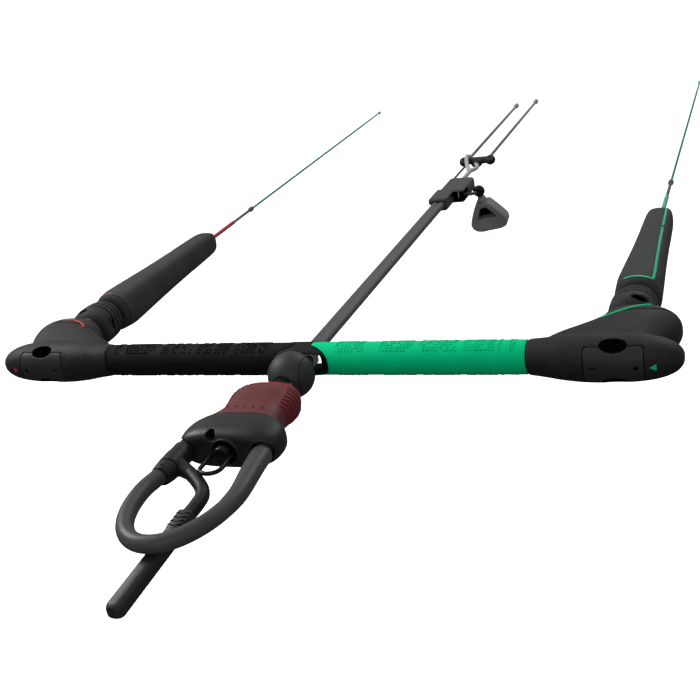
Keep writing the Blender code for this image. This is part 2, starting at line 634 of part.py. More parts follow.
def make_safety_swivel():
    stub = piece("safety_swivel", rod((0, -161 * MM, 0), (0, -146.4 * MM, 0), 6.6 * MM), "black_steel",
                 "safety_swivel")
    cut(stub, rod((-10 * MM, RING_Y, 0), (10 * MM, RING_Y, 0), RING_WIRE_R + 0.4 * MM, segments=16))
    half = 8 * MM
    front = -175.3 * MM
    arc = [(half * math.cos(math.pi * k / 8), front - half * math.sin(math.pi * k / 8), 0) for k in range(9)]
    piece("safety_ring", bent([(-half, RING_Y, 0), (0, RING_Y, 0), (half, RING_Y, 0)] + arc, RING_WIRE_R, 2, True),
          "black_steel", "safety_ring")


# Hub liner and trim

def make_liner():
    liner = piece("hub_liner", oval_bar(10.4 * MM, 6.3 * MM, -4 * MM, 4 * MM, 5), "rope", "hub_liner")
    cut(liner, oval_bar(8.1 * MM, 4.4 * MM, -6 * MM, 6 * MM, 5))


def make_cleat():
    cleat = piece("trim_cleat", block((-13 * MM, CLEAT_Y0, -7.5 * MM), (9.5 * MM, 452 * MM, 7.5 * MM), 2.5 * MM),
                  "cleat", "centre_line", 60)
    join(cleat, block((-8 * MM, 442 * MM, -8 * MM), (22.5 * MM, CLEAT_Y1, 8 * MM), 3 * MM))
    cut(cleat, oval_bar(8 * MM, 4.3 * MM, CLEAT_Y0 - 10 * MM, TUBE_STOP + GAP, 3),
        rod((ROPE_X, 430 * MM, ROPE_Z), (ROPE_X, 510 * MM, ROPE_Z), ROPE_R + 0.6 * MM, segments=20),
        rod((TAIL_X, 430 * MM, TAIL_Z), (TAIL_X, 490 * MM, TAIL_Z), TAIL_R + 0.6 * MM, segments=16),
        rod((SAFETY_X, 400 * MM, SAFETY_Z), (SAFETY_X, 510 * MM, SAFETY_Z), SAFETY_R + 0.5 * MM, segments=12),
        block((9.9 * MM, 436 * MM, -5.4 * MM), (30 * MM, 462 * MM, 4.6 * MM)))
    piece("cleat_roller", rod((13.5 * MM, 450 * MM, -7.6 * MM), (13.5 * MM, 450 * MM, 7.6 * MM), 1.0 * MM, segments=12),
          "steel", "centre_line")
    cut(cleat, rod((13.5 * MM, 450 * MM, -9 * MM), (13.5 * MM, 450 * MM, 9 * MM), 1.3 * MM, segments=12))


def make_trim_lines():
    """The trim rope, which splits in two behind the cleat, and the splitter with the front lines."""
    fork = (ROPE_X, 545 * MM, ROPE_Z)
    rope = piece("trim_rope", bent(straight_path((ROPE_X, 478 * MM, ROPE_Z), fork, 6), ROPE_R), "rope",
                 "trim_lines")
    left = [(ROPE_X - 1 * MM, 540 * MM, ROPE_Z), (-4 * MM, 565 * MM, 4.5 * MM), (-11 * MM, 588 * MM, 7.6 * MM),
            (-FRONT_LINE_X, 603 * MM, 7.6 * MM), (-FRONT_LINE_X, 614 * MM, 3.6 * MM), (-FRONT_LINE_X, 622 * MM, 0)]
    right = [(ROPE_X, 541 * MM, ROPE_Z), (ROPE_X + 1 * MM, 560 * MM, 1 * MM), (5 * MM, 576 * MM, -1 * MM),
             (1 * MM, 588 * MM, -1.5 * MM)]
    join(rope, bent(smooth_path(left, 3), 2.1 * MM), bent(smooth_path(right, 3), 2.1 * MM))

    splitter = piece("line_splitter", block((-19 * MM, 596 * MM, -4 * MM), (19 * MM, 608 * MM, 3.6 * MM), 2.5 * MM),
                     "soft_black", "trim_lines")
    join(splitter, ball((-17.5 * MM, 602 * MM, -1 * MM), 7.4 * MM, 14, 8, (0.8, 1.0, 0.8)),
         ball((17 * MM, 602 * MM, -0.5 * MM), 7.4 * MM, 14, 8, (0.85, 1.0, 0.85)),
         ball((0, 597 * MM, -2 * MM), 8.2 * MM, 14, 8, (0.9, 0.9, 0.75)))
    cut(splitter, bent(smooth_path(right, 3), 2.5 * MM), bent(smooth_path(left, 3), 2.5 * MM))
    cut(splitter, rod((FRONT_LINE_X, 603 * MM, 0), (FRONT_LINE_X, 630 * MM, 0), FRONT_LINE_R + 0.4 * MM, segments=12))
    cut(splitter, rod((SAFETY_X, 570 * MM, SAFETY_Z), (SAFETY_X, 599 * MM, SAFETY_Z), SAFETY_R + GAP, segments=12))

    for name, side in SIDES.items():
        x, start, stop = side * FRONT_LINE_X, FRONT_START[side], FRONT_STOP[side]
        piece("front_line_" + name, bent(straight_path((x, start, 0), (x, stop, 0), 8), FRONT_LINE_R), "line_grey",
              "trim_lines")


def make_safety_line():
    path = straight_path((SAFETY_X, 451.5 * MM, SAFETY_Z), (SAFETY_X, 598.5 * MM, SAFETY_Z), 6)
    piece("safety_line", bent(path, SAFETY_R), "line_grey", "trim_lines")


def toggle_point(x, y, z):
    """A place in millimetres below the ball, along the leaning handle."""
    across = x * math.cos(TOGGLE_LEAN) - z * math.sin(TOGGLE_LEAN)
    up = x * math.sin(TOGGLE_LEAN) + z * math.cos(TOGGLE_LEAN)
    ahead = y * math.cos(TOGGLE_SWING) - up * math.sin(TOGGLE_SWING)
    up = y * math.sin(TOGGLE_SWING) + up * math.cos(TOGGLE_SWING)
    return Vector((TOGGLE_X + across * MM, TOGGLE_Y + ahead * MM, TOGGLE_PIVOT_Z + up * MM))


def make_toggle():
    """The pull line that comes out of the cleat's side, and the ball and handle that hang on it."""
    straight = straight_path((TAIL_X, 488 * MM, TAIL_Z), (TAIL_X, 462 * MM, TAIL_Z), 4)
    bend = smooth_path([(TAIL_X, 462 * MM, TAIL_Z), (19.3 * MM, 458 * MM, -2 * MM), (23 * MM, 457 * MM, -2.3 * MM),
                        (27 * MM, 460 * MM, -3 * MM), (30 * MM, 466.5 * MM, -4 * MM)], 4)
    piece("toggle_line", bent(straight[:-1] + bend, TAIL_R), "line_grey", "trim_tail")
    centre = (TOGGLE_X, TOGGLE_Y, TOGGLE_PIVOT_Z)
    stopper = piece("toggle_ball", ball(centre, 6.8 * MM, 24, 16), "soft_black", "trim_toggle")
    cut(stopper, ball((30 * MM, 465.5 * MM, -4 * MM), 5.2 * MM, 16, 10))
    piece("toggle_collar", rod(toggle_point(0, 0, -13.3), toggle_point(0, 0, -7.2), 5.4 * MM, 4.2 * MM), "rope",
          "trim_toggle")

    half = [(8, -13.6), (13, -21), (19.5, -32), (22.6, -39), (22.2, -44.5), (18.5, -49), (12, -51)]
    outer = half + [(-x, z) for x, z in reversed(half)]
    inner = [(-4, -19), (-12.5, -34), (12.5, -34), (4, -19)]

    def plate(outline, front, back):
        return loft([[toggle_point(x, y, z) for x, z in outline] for y in (front, back)])

    handle = piece("toggle_handle", plate(outer, -8.5, 6.5), "cleat", "trim_toggle")
    soften = handle.modifiers.new("soften", "BEVEL")
    soften.width = 3.5 * MM
    soften.segments = 2
    cut(handle, plate(inner, -12, 2))


def main():
    make_depower_tube()
    make_ball()
    make_release_core()
    make_release_sleeve()
    make_housing()
    make_chicken_loop()
    make_locking_tube()
    make_safety_swivel()
    make_hub()
    make_liner()
    for name, side in SIDES.items():
        make_sleeve_spring(name, side)
        make_core_and_grip(name, side)
        make_bar_end(name, side)
        make_float(name, side)
        make_steering_line(name, side)
    make_cleat()
    make_trim_lines()
    make_safety_line()
    make_toggle()


main()
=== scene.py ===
"""The looks of a kitesurf control bar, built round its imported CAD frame.

Shapes are in millimetres from the bar's own axis: X along the bar, Y towards the kite, Z up.
place() turns them into the frame's metres, whose origin is the harness hook's seat in the loop.
"""
import random
from math import asin, copysign, cos, pi, radians, sin, sqrt

import bmesh
import bpy
from mathutils import Matrix, Vector


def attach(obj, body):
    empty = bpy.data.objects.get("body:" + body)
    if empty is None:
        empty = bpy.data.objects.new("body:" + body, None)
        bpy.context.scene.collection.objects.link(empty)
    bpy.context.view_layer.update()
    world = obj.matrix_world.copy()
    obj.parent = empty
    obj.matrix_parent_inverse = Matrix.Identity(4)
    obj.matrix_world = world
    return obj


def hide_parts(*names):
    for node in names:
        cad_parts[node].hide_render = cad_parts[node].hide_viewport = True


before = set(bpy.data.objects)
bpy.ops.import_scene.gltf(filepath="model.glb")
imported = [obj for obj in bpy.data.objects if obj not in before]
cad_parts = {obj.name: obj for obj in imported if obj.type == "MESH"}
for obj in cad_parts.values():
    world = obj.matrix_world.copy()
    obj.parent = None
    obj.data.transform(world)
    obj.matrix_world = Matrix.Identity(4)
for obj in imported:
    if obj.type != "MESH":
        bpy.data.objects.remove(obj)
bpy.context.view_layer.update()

MM = 0.001
HOOK_TO_BAR = 260.4               # hook seat to bar axis
LINE_X = 251                      # steering lines, each side of the middle
FRONT_X, FRONT_R = 13.3, 1.9
FRONT_SPANS = {"left": (622.8, 918), "right": (603.4, 936)}
GRIP_R = 13.35
GRIP_END = 183
BALL_Y, BALL_R = -31, 18.9
ARM_X, RIGHT_ARM_X = 31.5, 28.3    # the loop's straight ends
LOOP_R = 5.6
RING_Y = -155.5
KNUCKLE_Y, HINGE_Y = 52, 104
KNUCKLE_ROOM = 14.6
FLOAT_START, FLOAT_SEAM, FLOAT_STOP = 108.5, 256, 327
SIDES = {"left": -1, "right": 1}
SIDE_COLOUR = {-1: "red", 1: "green"}
CORNERS = ((-1, -1), (1, -1), (1, 1), (-1, 1))
X, Y, Z = Vector((1, 0, 0)), Vector((0, 1, 0)), Vector((0, 0, 1))
CLEAT_Y0, CLEAT_Y1 = 412, 497
ROPE_X, ROPE_Z = 6, 3
TAIL_X, TAIL_Z = 18, -2
SAFETY_X, SAFETY_Z = -10.6, -1
TOGGLE = Vector((31.5, 475, -4.5))
TOGGLE_LEAN, TOGGLE_SWING = radians(10), radians(15)


def add_object(name, data):
    obj = bpy.data.objects.new(name, data)
    bpy.context.scene.collection.objects.link(obj)
    return obj


def mesh_from(name, bm):
    """A mesh that takes over a bmesh."""
    mesh = bpy.data.meshes.new(name)
    bm.to_mesh(mesh)
    bm.free()
    return mesh


# The camera

LENS_MM, SENSOR_MM = 56.235, 36
VIEW_FROM = (0.35970, -0.47816, 0.34049)
VIEW_AXES = (0.9301, 0.3303, -0.1606), (0.0097, 0.4148, 0.9098), (0.3671, -0.8478, 0.3826)


def make_camera():
    data = bpy.data.cameras.new("camera")
    data.lens, data.sensor_width = LENS_MM, SENSOR_MM
    data.clip_start, data.clip_end = 0.01, 60
    camera = add_object("camera", data)
    turn = Matrix(VIEW_AXES).transposed()
    camera.matrix_world = Matrix.Translation(VIEW_FROM) @ turn.to_4x4()
    bpy.context.scene.camera = camera


make_camera()


# Materials

LOOKS = {}


def linear(*shade):
    """Colour from the 0 to 255 values that the eye reads."""
    return tuple(((c / 255 + 0.055) / 1.055) ** 2.4 if c > 10 else c / 255 / 12.92 for c in shade)


def graph(name, roughness, metallic=0.0, sheen=0.2):
    """A new material, kept in LOOKS under its name."""
    look = LOOKS[name] = bpy.data.materials.new(name)
    look.use_nodes = True
    tree = look.node_tree
    shader = tree.nodes["Principled BSDF"]
    shader.inputs["Roughness"].default_value = roughness
    shader.inputs["Metallic"].default_value = metallic
    shader.inputs["Specular IOR Level"].default_value = sheen
    return tree, shader


def node(tree, kind, output=0, **values):
    """A shader node's output, its inputs set by name: a socket is linked and a value is stored."""
    made = tree.nodes.new("ShaderNode" + kind)
    for key, value in values.items():
        linked = isinstance(value, bpy.types.NodeSocket)
        if hasattr(made, key) and not linked:
            setattr(made, key, value)
            continue
        socket = made.inputs[int(key[1:])] if key[0] == "_" else made.inputs[key.replace("_", " ")]
        if linked:
            tree.links.new(value, socket)
        else:
            socket.default_value = value
    return made.outputs[output]


def ramp(tree, value, stops):
    colour = node(tree, "ValToRGB", Fac=value)
    elements = colour.node.color_ramp.elements
    while len(elements) < len(stops):
        elements.new(0.5)
    for element, (position, shade) in zip(elements, stops):
        element.position = position
        element.color = (*shade, 1)
    return colour


def joined(tree, shader, base, gloss, height, depth, distance):
    """Colour, gloss and relief joined to the shader."""
    bump = node(tree, "Bump", Height=height, Strength=depth, Distance=distance)
    for key, socket in (("Base Color", base), ("Roughness", gloss), ("Normal", bump)):
        if socket:
            tree.links.new(socket, shader.inputs[key])


def moulded(name, shade, roughness, spread=0.16, grain=1500, depth=0.05, patch=45, edge_wear_and_highlight=0.0, speck=0.45,
            sheen=0.2):
    """Moulded plastic or rubber: mottled colour, fine grain, uneven gloss, and paler edges that are partly
    wear and partly a painted highlight.
    """
    tree, shader = graph(name, roughness, 0.0, sheen)
    colour = Vector(linear(*shade))
    place = node(tree, "TexCoord", "Object")
    broad = node(tree, "TexNoise", Vector=place, Scale=patch, Detail=4.0)
    fine = node(tree, "TexNoise", Vector=place, Scale=grain, Detail=3.0)
    mixed = node(tree, "Math", operation="MULTIPLY_ADD", _0=fine, _1=speck, _2=broad)
    evened = node(tree, "Math", operation="DIVIDE", _0=mixed, _1=1 + speck)
    base = ramp(tree, evened, [(0.36, colour * (1 - spread)), (0.64, colour * (1 + spread))])
    # Edges are lightened where the surface is sharpest: partly wear, partly a painted highlight along the
    # edges.
    if edge_wear_and_highlight:
        edge = node(tree, "NewGeometry", "Pointiness")
        edge_wear_and_highlight_mask = ramp(tree, edge, [(0.51, (0, 0, 0)), (0.60, (edge_wear_and_highlight, edge_wear_and_highlight, edge_wear_and_highlight))])
        pale = colour * 1.9 + Vector((0.012, 0.012, 0.012))
        base = node(tree, "MixRGB", Fac=edge_wear_and_highlight_mask, Color1=base, Color2=(*pale, 1))
    gloss = node(tree, "MapRange", Value=broad, From_Min=0.35, From_Max=0.65,
                     To_Min=roughness - 0.07, To_Max=roughness + 0.07)
    joined(tree, shader, base, gloss, fine, depth, 0.0004)


def braided(name, shade, strands, pitch, contrast=0.45, far_shade=None, reach=(0, 1)):
    """Braided cord: two families of crossing strands on the UV map, painted shade in the hollows between
    them, and stray darker fibres.
    """
    tree, shader = graph(name, 0.82)
    colour = Vector(linear(*shade))
    apart = node(tree, "SeparateXYZ", Vector=node(tree, "TexCoord", "UV")).node.outputs
    waves = []
    for turn in (1, -1):
        around = node(tree, "Math", operation="MULTIPLY", _0=apart[0], _1=float(strands * turn))
        along = node(tree, "Math", operation="MULTIPLY_ADD", _0=apart[1], _1=1 / pitch, _2=around)
        whole = node(tree, "Math", operation="MULTIPLY", _0=along, _1=2 * pi)
        waves.append(node(tree, "Math", operation="SINE", _0=whole))
    crossed = node(tree, "Math", operation="MAXIMUM", _0=waves[0], _1=waves[1])
    height = node(tree, "MapRange", Value=crossed, From_Min=-0.4, From_Max=1.0)
    points = node(tree, "TexCoord", "Object")
    fibre = node(tree, "TexNoise", Vector=points, Scale=2500.0, Detail=2.0)
    mixed = node(tree, "Math", operation="MULTIPLY", _0=height, _1=fibre)
    # The colour darkens where the strands lie low, as painted shade between them, and where the fibre noise
    # is low, as stray darker fibres.
    base = ramp(tree, mixed, [(0.05, colour * (1 - contrast)), (0.45, colour * 1.08)])
    if far_shade:
        depth_along = node(tree, "SeparateXYZ", 1, Vector=points)
        fade = node(tree, "MapRange", Value=depth_along, From_Min=reach[0], From_Max=reach[1])
        base = node(tree, "MixRGB", Fac=fade, Color1=base, Color2=(*linear(*far_shade), 1))
    joined(tree, shader, base, None, height, 0.6, 0.0003)


def metal(name, shade, roughness, metallic=1.0):
    """Drawn wire and turned pins: fine scratches along the length and uneven polish."""
    tree, shader = graph(name, roughness, metallic)
    drawn = node(tree, "Mapping", Vector=node(tree, "TexCoord", "Object"), Scale=(900, 60, 900))
    scratch = node(tree, "TexNoise", Vector=drawn, Scale=1.0, Detail=5.0)
    colour = Vector(linear(*shade))
    base = ramp(tree, scratch, [(0.3, colour * 0.8), (0.7, colour)])
    gloss = node(tree, "MapRange", Value=scratch, To_Min=roughness - 0.1, To_Max=roughness + 0.12)
    joined(tree, shader, base, gloss, scratch, 0.08, 0.0002)


moulded("grip_left", (13, 13, 13), 0.75, grain=1800, depth=0.12, sheen=0.1)
moulded("grip_right", (0, 186, 124), 0.65, 0.06, 1800, 0.10, sheen=0.05)
moulded("stud_left", (3, 3, 3), 0.8, grain=2600, sheen=0.0)
moulded("stud_right", (0, 170, 112), 0.6, 0.05, 2600, sheen=0.05)
moulded("bar_end", (24, 24, 24), 0.62, 0.75, 800, 0.8, edge_wear_and_highlight=0.1, speck=2.0)
moulded("collar", (37, 37, 37), 0.62, 0.7, 800, 0.8, edge_wear_and_highlight=0.1, speck=2.0)
moulded("insert", (35, 36, 36), 0.5, 0.12, 1200, 0.12, edge_wear_and_highlight=0.08)
moulded("hub", (10, 10, 10), 0.5, 0.12, 1500, 0.08, edge_wear_and_highlight=0.06, sheen=0.12)
# mark: near-black with no shine, for print and dark parts, and also painted shade filling seams, grooves,
# slots and the toggle's recess.
moulded("mark", (4, 4, 4), 0.8, sheen=0.0)
moulded("carbon", (20, 20, 20), 0.35)
moulded("foam", (48, 49, 49), 0.75, 0.35, 900, 0.6, patch=30, edge_wear_and_highlight=0.12, speck=1.0)
moulded("knuckle", (36, 37, 37), 0.62, 0.6, 800, 0.8, edge_wear_and_highlight=0.2, speck=2.0)
moulded("dark", (8, 8, 8), 0.6, sheen=0.1)
moulded("red", (160, 44, 50), 0.55, 0.08)
moulded("green", (10, 178, 124), 0.5, 0.05)
moulded("ball", (43, 45, 45), 0.46, 0.1, 1600, 0.08, edge_wear_and_highlight=0.08)
moulded("housing", (24, 26, 25), 0.45, 0.1, 1600, 0.07, edge_wear_and_highlight=0.1)
moulded("release", (88, 34, 37), 0.42, 0.14, 1600, 0.07, edge_wear_and_highlight=0.2)
moulded("release_bright", (156, 38, 52), 0.45, 0.1)
moulded("rib", (122, 40, 46), 0.4, 0.1)
moulded("loop", (58, 60, 59), 0.4, 0.12, 1400, 0.08, patch=25)
moulded("loop_fitting", (21, 22, 22), 0.46, 0.14, 1500, 0.12, edge_wear_and_highlight=0.12)
moulded("rod", (32, 34, 33), 0.42, 0.2, 1200, 0.12, patch=60, edge_wear_and_highlight=0.12)
metal("black_steel", (30, 30, 30), 0.25, 0.6)
metal("steel", (196, 198, 198), 0.28)
moulded("depower", (68, 70, 70), 0.45, 0.12, 1200, 0.1, patch=20)
moulded("cleat", (56, 58, 58), 0.5, 0.12, 1300, 0.14, edge_wear_and_highlight=0.15)
moulded("toggle", (116, 118, 118), 0.62, 0.14, 1300, 0.2, edge_wear_and_highlight=0.2)
moulded("liner", (150, 154, 156), 0.4, 0.06)
moulded("splitter", (26, 27, 27), 0.5, 0.2, 1200, 0.12, edge_wear_and_highlight=0.2)
braided("rope", (166, 168, 166), 6, 5.0)
braided("line_grey", (74, 76, 75), 5, 3.2)
braided("front_line", (104, 106, 105), 5, 3.2, contrast=0.3, far_shade=(140, 142, 141), reach=(1.0, 1.2))
braided("line_green", (8, 128, 84), 5, 2.6, far_shade=(110, 182, 156), reach=(1.12, 1.25))
braided("leader_red", (164, 62, 66), 6, 3.6, contrast=0.3)
braided("leader_green", (92, 166, 134), 6, 3.6, contrast=0.3)
braided("leader", (96, 98, 97), 6, 3.6)


# Shapes: each gives a bmesh in millimetres

def spline(rows, steps):
    """Rows of numbers with a smooth curve through them and this many steps to each stretch."""
    rows = [tuple(row) for row in rows]
    first = tuple(2 * a - b for a, b in zip(rows[0], rows[1]))
    last = tuple(2 * a - b for a, b in zip(rows[-1], rows[-2]))
    padded = [first] + rows + [last]
    found = []
    for four in zip(padded, padded[1:], padded[2:], padded[3:]):
        for k in range(steps):
            t = k / steps
            found.append(tuple(
                0.5 * (2 * b + (c - a) * t + (2 * a - 5 * b + 4 * c - d) * t ** 2
                       + (3 * b - a - 3 * c + d) * t ** 3) for a, b, c, d in zip(*four)))
    return found + [rows[-1]]


def interpolate(rows, at):
    """The row that belongs at a place, rows being sorted by their first number."""
    for low, high in zip(rows, rows[1:]):
        if at <= high[0]:
            t = max(0.0, (at - low[0]) / (high[0] - low[0]))
            return [a + (b - a) * t for a, b in zip(low, high)]
    return list(rows[-1])


def loft(outlines):
    bm = bmesh.new()
    rows = [[bm.verts.new(point) for point in outline] for outline in outlines]
    count = len(rows[0])
    for one, other in zip(rows, rows[1:]):
        for k in range(count):
            bm.faces.new((one[k], one[(k + 1) % count], other[(k + 1) % count], other[k]))
    bm.faces.new(rows[0])
    bm.faces.new(rows[-1])
    return bm


def oval(centre, across, up, half_across, half_up, power=2.0, points=64):
    found = []
    for k in range(points):
        turn = 2 * pi * (k + 0.5) / points
        c, s = cos(turn), sin(turn)
        found.append(Vector(centre)
                     + across * half_across * copysign(abs(c) ** (2 / power), c)
                     + up * half_up * copysign(abs(s) ** (2 / power), s))
    return found


def oval_bar(half_x, half_z, start, stop, power):
    return loft([oval((0, y, 0), X, Z, half_x, half_z, power) for y in (start, stop)])


def loft_y(rows, power=2.0, points=72, steps=5, x=0):
    """Ovals along Y from rows of (y, half x, half z), with smooth curves between."""
    return loft([oval((x, y, 0), X, Z, a, b, power, points) for y, a, b in spline(rows, steps)])


def turned(profile, centre, axis, segments=64, closed=False):
    """A body of revolution from (place along the axis, radius) pairs, or a ring from a closed outline."""
    turn = Z.rotation_difference(axis).to_matrix()
    bm = bmesh.new()
    rings = []
    for along, radius in profile:
        count = segments if radius > 1e-6 else 1
        spokes = (2 * pi * k / segments for k in range(count))
        points = (Vector((radius * cos(t), radius * sin(t), along)) for t in spokes)
        rings.append([bm.verts.new(Vector(centre) + turn @ point) for point in points])
    for one, other in zip(rings, rings[1:] + rings[:1] if closed else rings[1:]):
        for k in range(segments):
            corners = [one[k % len(one)], one[(k + 1) % len(one)],
                       other[(k + 1) % len(other)], other[k % len(other)]]
            bm.faces.new(list(dict.fromkeys(corners)))
    for ring in () if closed else (rings[0], rings[-1]):
        if len(ring) > 1:
            bm.faces.new(ring)
    return bm


def band(start, width, inner, outer, centre, axis, segments=64):
    """A ring whose section is a rectangle."""
    outline = [(start, inner), (start, outer), (start + width, outer), (start + width, inner)]
    return turned(outline, centre, axis, segments, closed=True)


def rod(start, end, radius, end_radius=None, segments=48, soft=0.0):
    """A round rod or cone, with its rims rounded by soft."""
    start, end = Vector(start), Vector(end)
    length = (end - start).length
    end_radius = radius if end_radius is None else end_radius
    arc = [pi / 2 * k / 4 for k in range(5)] if soft else [0]
    rim = [(soft * (1 - sin(t)), soft * (1 - cos(t))) for t in arc]
    near, far = [(a, radius - b) for a, b in reversed(rim)], [(length - a, end_radius - b) for a, b in rim]
    return turned([(0, 0), *near, *far, (length, 0)], start, end - start, segments)


def rod_y(x, start, stop, radius, end_radius=None, z=0, **more):
    return rod((x, start, z), (x, stop, z), radius, end_radius, **more)


def ball(centre, radius, stretch=(1, 1, 1), segments=64, rings=40):
    bm = bmesh.new()
    bmesh.ops.create_uvsphere(bm, u_segments=segments, v_segments=rings, radius=radius)
    bmesh.ops.scale(bm, vec=stretch, verts=bm.verts)
    bmesh.ops.translate(bm, verts=bm.verts, vec=centre)
    return bm


def block(low, high, bevel=0.0, segments=4):
    low, high = Vector(low), Vector(high)
    bm = bmesh.new()
    bmesh.ops.create_cube(bm, size=1)
    bmesh.ops.scale(bm, vec=high - low, verts=bm.verts)
    bmesh.ops.translate(bm, verts=bm.verts, vec=(low + high) / 2)
    if bevel:
        bmesh.ops.bevel(bm, geom=bm.edges[:], offset=bevel, segments=segments, affect="EDGES", profile=0.5)
    return bm


def sweep(path, radius, sides=20, closed=False, flat=1.0):
    """A bar along the path, with a UV map that runs once round and in millimetres along."""
    path = [Vector(point) for point in path]
    bm = bmesh.new()
    layer = bm.loops.layers.uv.new("UVMap")
    count = len(path)
    side = None
    rings, lengths = [], [0.0]
    for k, point in enumerate(path):
        before = path[k - 1] if closed or k else point
        after = path[(k + 1) % count] if closed or k < count - 1 else point
        along = (after - before).normalized()
        if side is None:
            side = along.cross(Z if abs(along.z) < 0.9 else X).normalized()
        side = (side - along * side.dot(along)).normalized()
        up = along.cross(side)
        rings.append([bm.verts.new(point + radius * (side * cos(t) + up * flat * sin(t)))
                      for t in (2 * pi * j / sides for j in range(sides))])
        if k:
            lengths.append(lengths[-1] + (point - path[k - 1]).length)
    lengths.append(lengths[-1] + (path[0] - path[-1]).length)
    for k in range(count if closed else count - 1):
        one, other = rings[k], rings[(k + 1) % count]
        for j in range(sides):
            face = bm.faces.new((one[j], one[(j + 1) % sides], other[(j + 1) % sides], other[j]))
            for loop, (u, v) in zip(face.loops, ((j, k), (j + 1, k), (j + 1, k + 1), (j, k + 1))):
                loop[layer].uv = (u / sides, lengths[v])
    if not closed:
        for ring, tip in ((rings[0], path[0] - path[1]), (rings[-1], path[-1] - path[-2])):
            face = bm.faces.new(ring)
            pulled = bmesh.ops.extrude_face_region(bm, geom=[face])["geom"]
            found = [v for v in pulled if isinstance(v, bmesh.types.BMVert)]
            centre = sum((v.co for v in found), Vector()) / len(found)
            for vert in found:
                vert.co = centre + (vert.co - centre) * 0.72 + tip.normalized() * radius * 0.3
            bmesh.ops.delete(bm, geom=[face], context="FACES")
    return bm


def merged(*shapes):
    """Several closed shapes as one mesh, where they lie apart or only show their outsides."""
    whole = bmesh.new()
    for shape in shapes:
        mesh = mesh_from("part", shape)
        whole.from_mesh(mesh)
        bpy.data.meshes.remove(mesh)
    return whole


def straight(x, start, stop, steps, z=0):
    """Points along Y."""
    return [Vector((x, start, z)).lerp(Vector((x, stop, z)), k / steps) for k in range(steps + 1)]


def half_oval(half_x, y, half_y, steps):
    """Points round the half of an oval that faces the rider."""
    turns = (pi * k / steps for k in range(steps + 1))
    return [(half_x * cos(t), y - half_y * sin(t), 0) for t in turns]


# Turning shapes into pieces

def scratch_object(bm):
    bmesh.ops.recalc_face_normals(bm, faces=bm.faces)
    return add_object("scratch", mesh_from("scratch", bm))


def formed(base, join=(), cut=(), keep=(), voxel=0.0, smooth=0, thin=1.0):
    """A shape with others joined, cut and kept, then fused and softened like a moulding."""
    main = scratch_object(base)
    others = []
    for operation, shapes in (("UNION", join), ("INTERSECT", keep), ("DIFFERENCE", cut)):
        for shape in shapes:
            other = scratch_object(shape)
            step = main.modifiers.new(operation, "BOOLEAN")
            step.operation, step.solver, step.object = operation, "EXACT", other
            others.append(other)
    if voxel:
        fuse = main.modifiers.new("fuse", "REMESH")
        fuse.mode, fuse.voxel_size = "VOXEL", voxel
        soften = main.modifiers.new("soften", "SMOOTH")
        soften.factor, soften.iterations = 0.5, smooth
        if thin < 1:
            main.modifiers.new("thin", "DECIMATE").ratio = thin
    depsgraph = bpy.context.evaluated_depsgraph_get()
    mesh = bpy.data.meshes.new_from_object(main.evaluated_get(depsgraph))
    for obj in [main] + others:
        bpy.data.objects.remove(obj)
    bm = bmesh.new()
    bm.from_mesh(mesh)
    bpy.data.meshes.remove(mesh)
    return bm


def place(name, bm, look, body, *nodes, slot="soft_black", angle=42):
    """A finished piece that rides on a CAD body and stands for the CAD nodes named."""
    bmesh.ops.recalc_face_normals(bm, faces=bm.faces)
    bmesh.ops.translate(bm, verts=bm.verts, vec=(0, HOOK_TO_BAR, 0))
    bmesh.ops.scale(bm, verts=bm.verts, vec=(MM, MM, MM))
    mesh = mesh_from(name, bm)
    mesh.shade_smooth()
    mesh.set_sharp_from_angle(angle=radians(angle))
    mesh.materials.append(LOOKS[look])
    obj = add_object(name, mesh)
    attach(obj, body)
    if nodes:
        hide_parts(*nodes)
    return obj


def repaint(look, *nodes):
    """A CAD node whose shape is right gets a better material."""
    for name in nodes:
        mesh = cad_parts[name].data
        mesh.materials.clear()
        mesh.materials.append(LOOKS[look])


# Cords, along the same straight routes as the CAD lines

def knot(at, line_radius, turns=2.5):
    """A stopper knot: turns of the line laid round itself."""
    coil_r = line_radius * 1.1
    coil = []
    for k in range(int(turns * 14) + 1):
        turn = 2 * pi * k / 14
        along = (k / (turns * 14) - 0.5) * line_radius * 2 * turns
        coil.append(Vector(at) + Vector((coil_r * cos(turn), along, coil_r * sin(turn))))
    return sweep(coil, line_radius * 0.75, 14)


def cord(name, route, radius, look, body, node, slot, stopper):
    """A taut line that ends in a stopper knot."""
    piece = place(name, sweep(route, radius, 18), look, body, node, slot=slot)
    end = place(name + "_knot", knot(stopper, radius), look, body, slot=slot)


def make_cords():
    for name, side in SIDES.items():
        x, body = side * LINE_X, "line_" + name
        cord("leader_cord_" + name, straight(x, 392.3, 445.7, 20), 1.6, "leader", body,
             "leader_" + name, "line_grey", (x, 443.5, 0))
        cord("steering_cord_" + name, straight(x, 446.3, 963.7, 36), 1.2, "line_green", body,
             "flying_line_" + name, "line_green", (x, 961, 0))
        x, (start, stop) = side * FRONT_X, FRONT_SPANS[name]
        cord("front_cord_" + name, straight(x, start, stop, 30), FRONT_R, "front_line",
             "trim_lines", "front_line_" + name, "line_grey", (x, stop - 3, 0))


make_cords()


# The bar

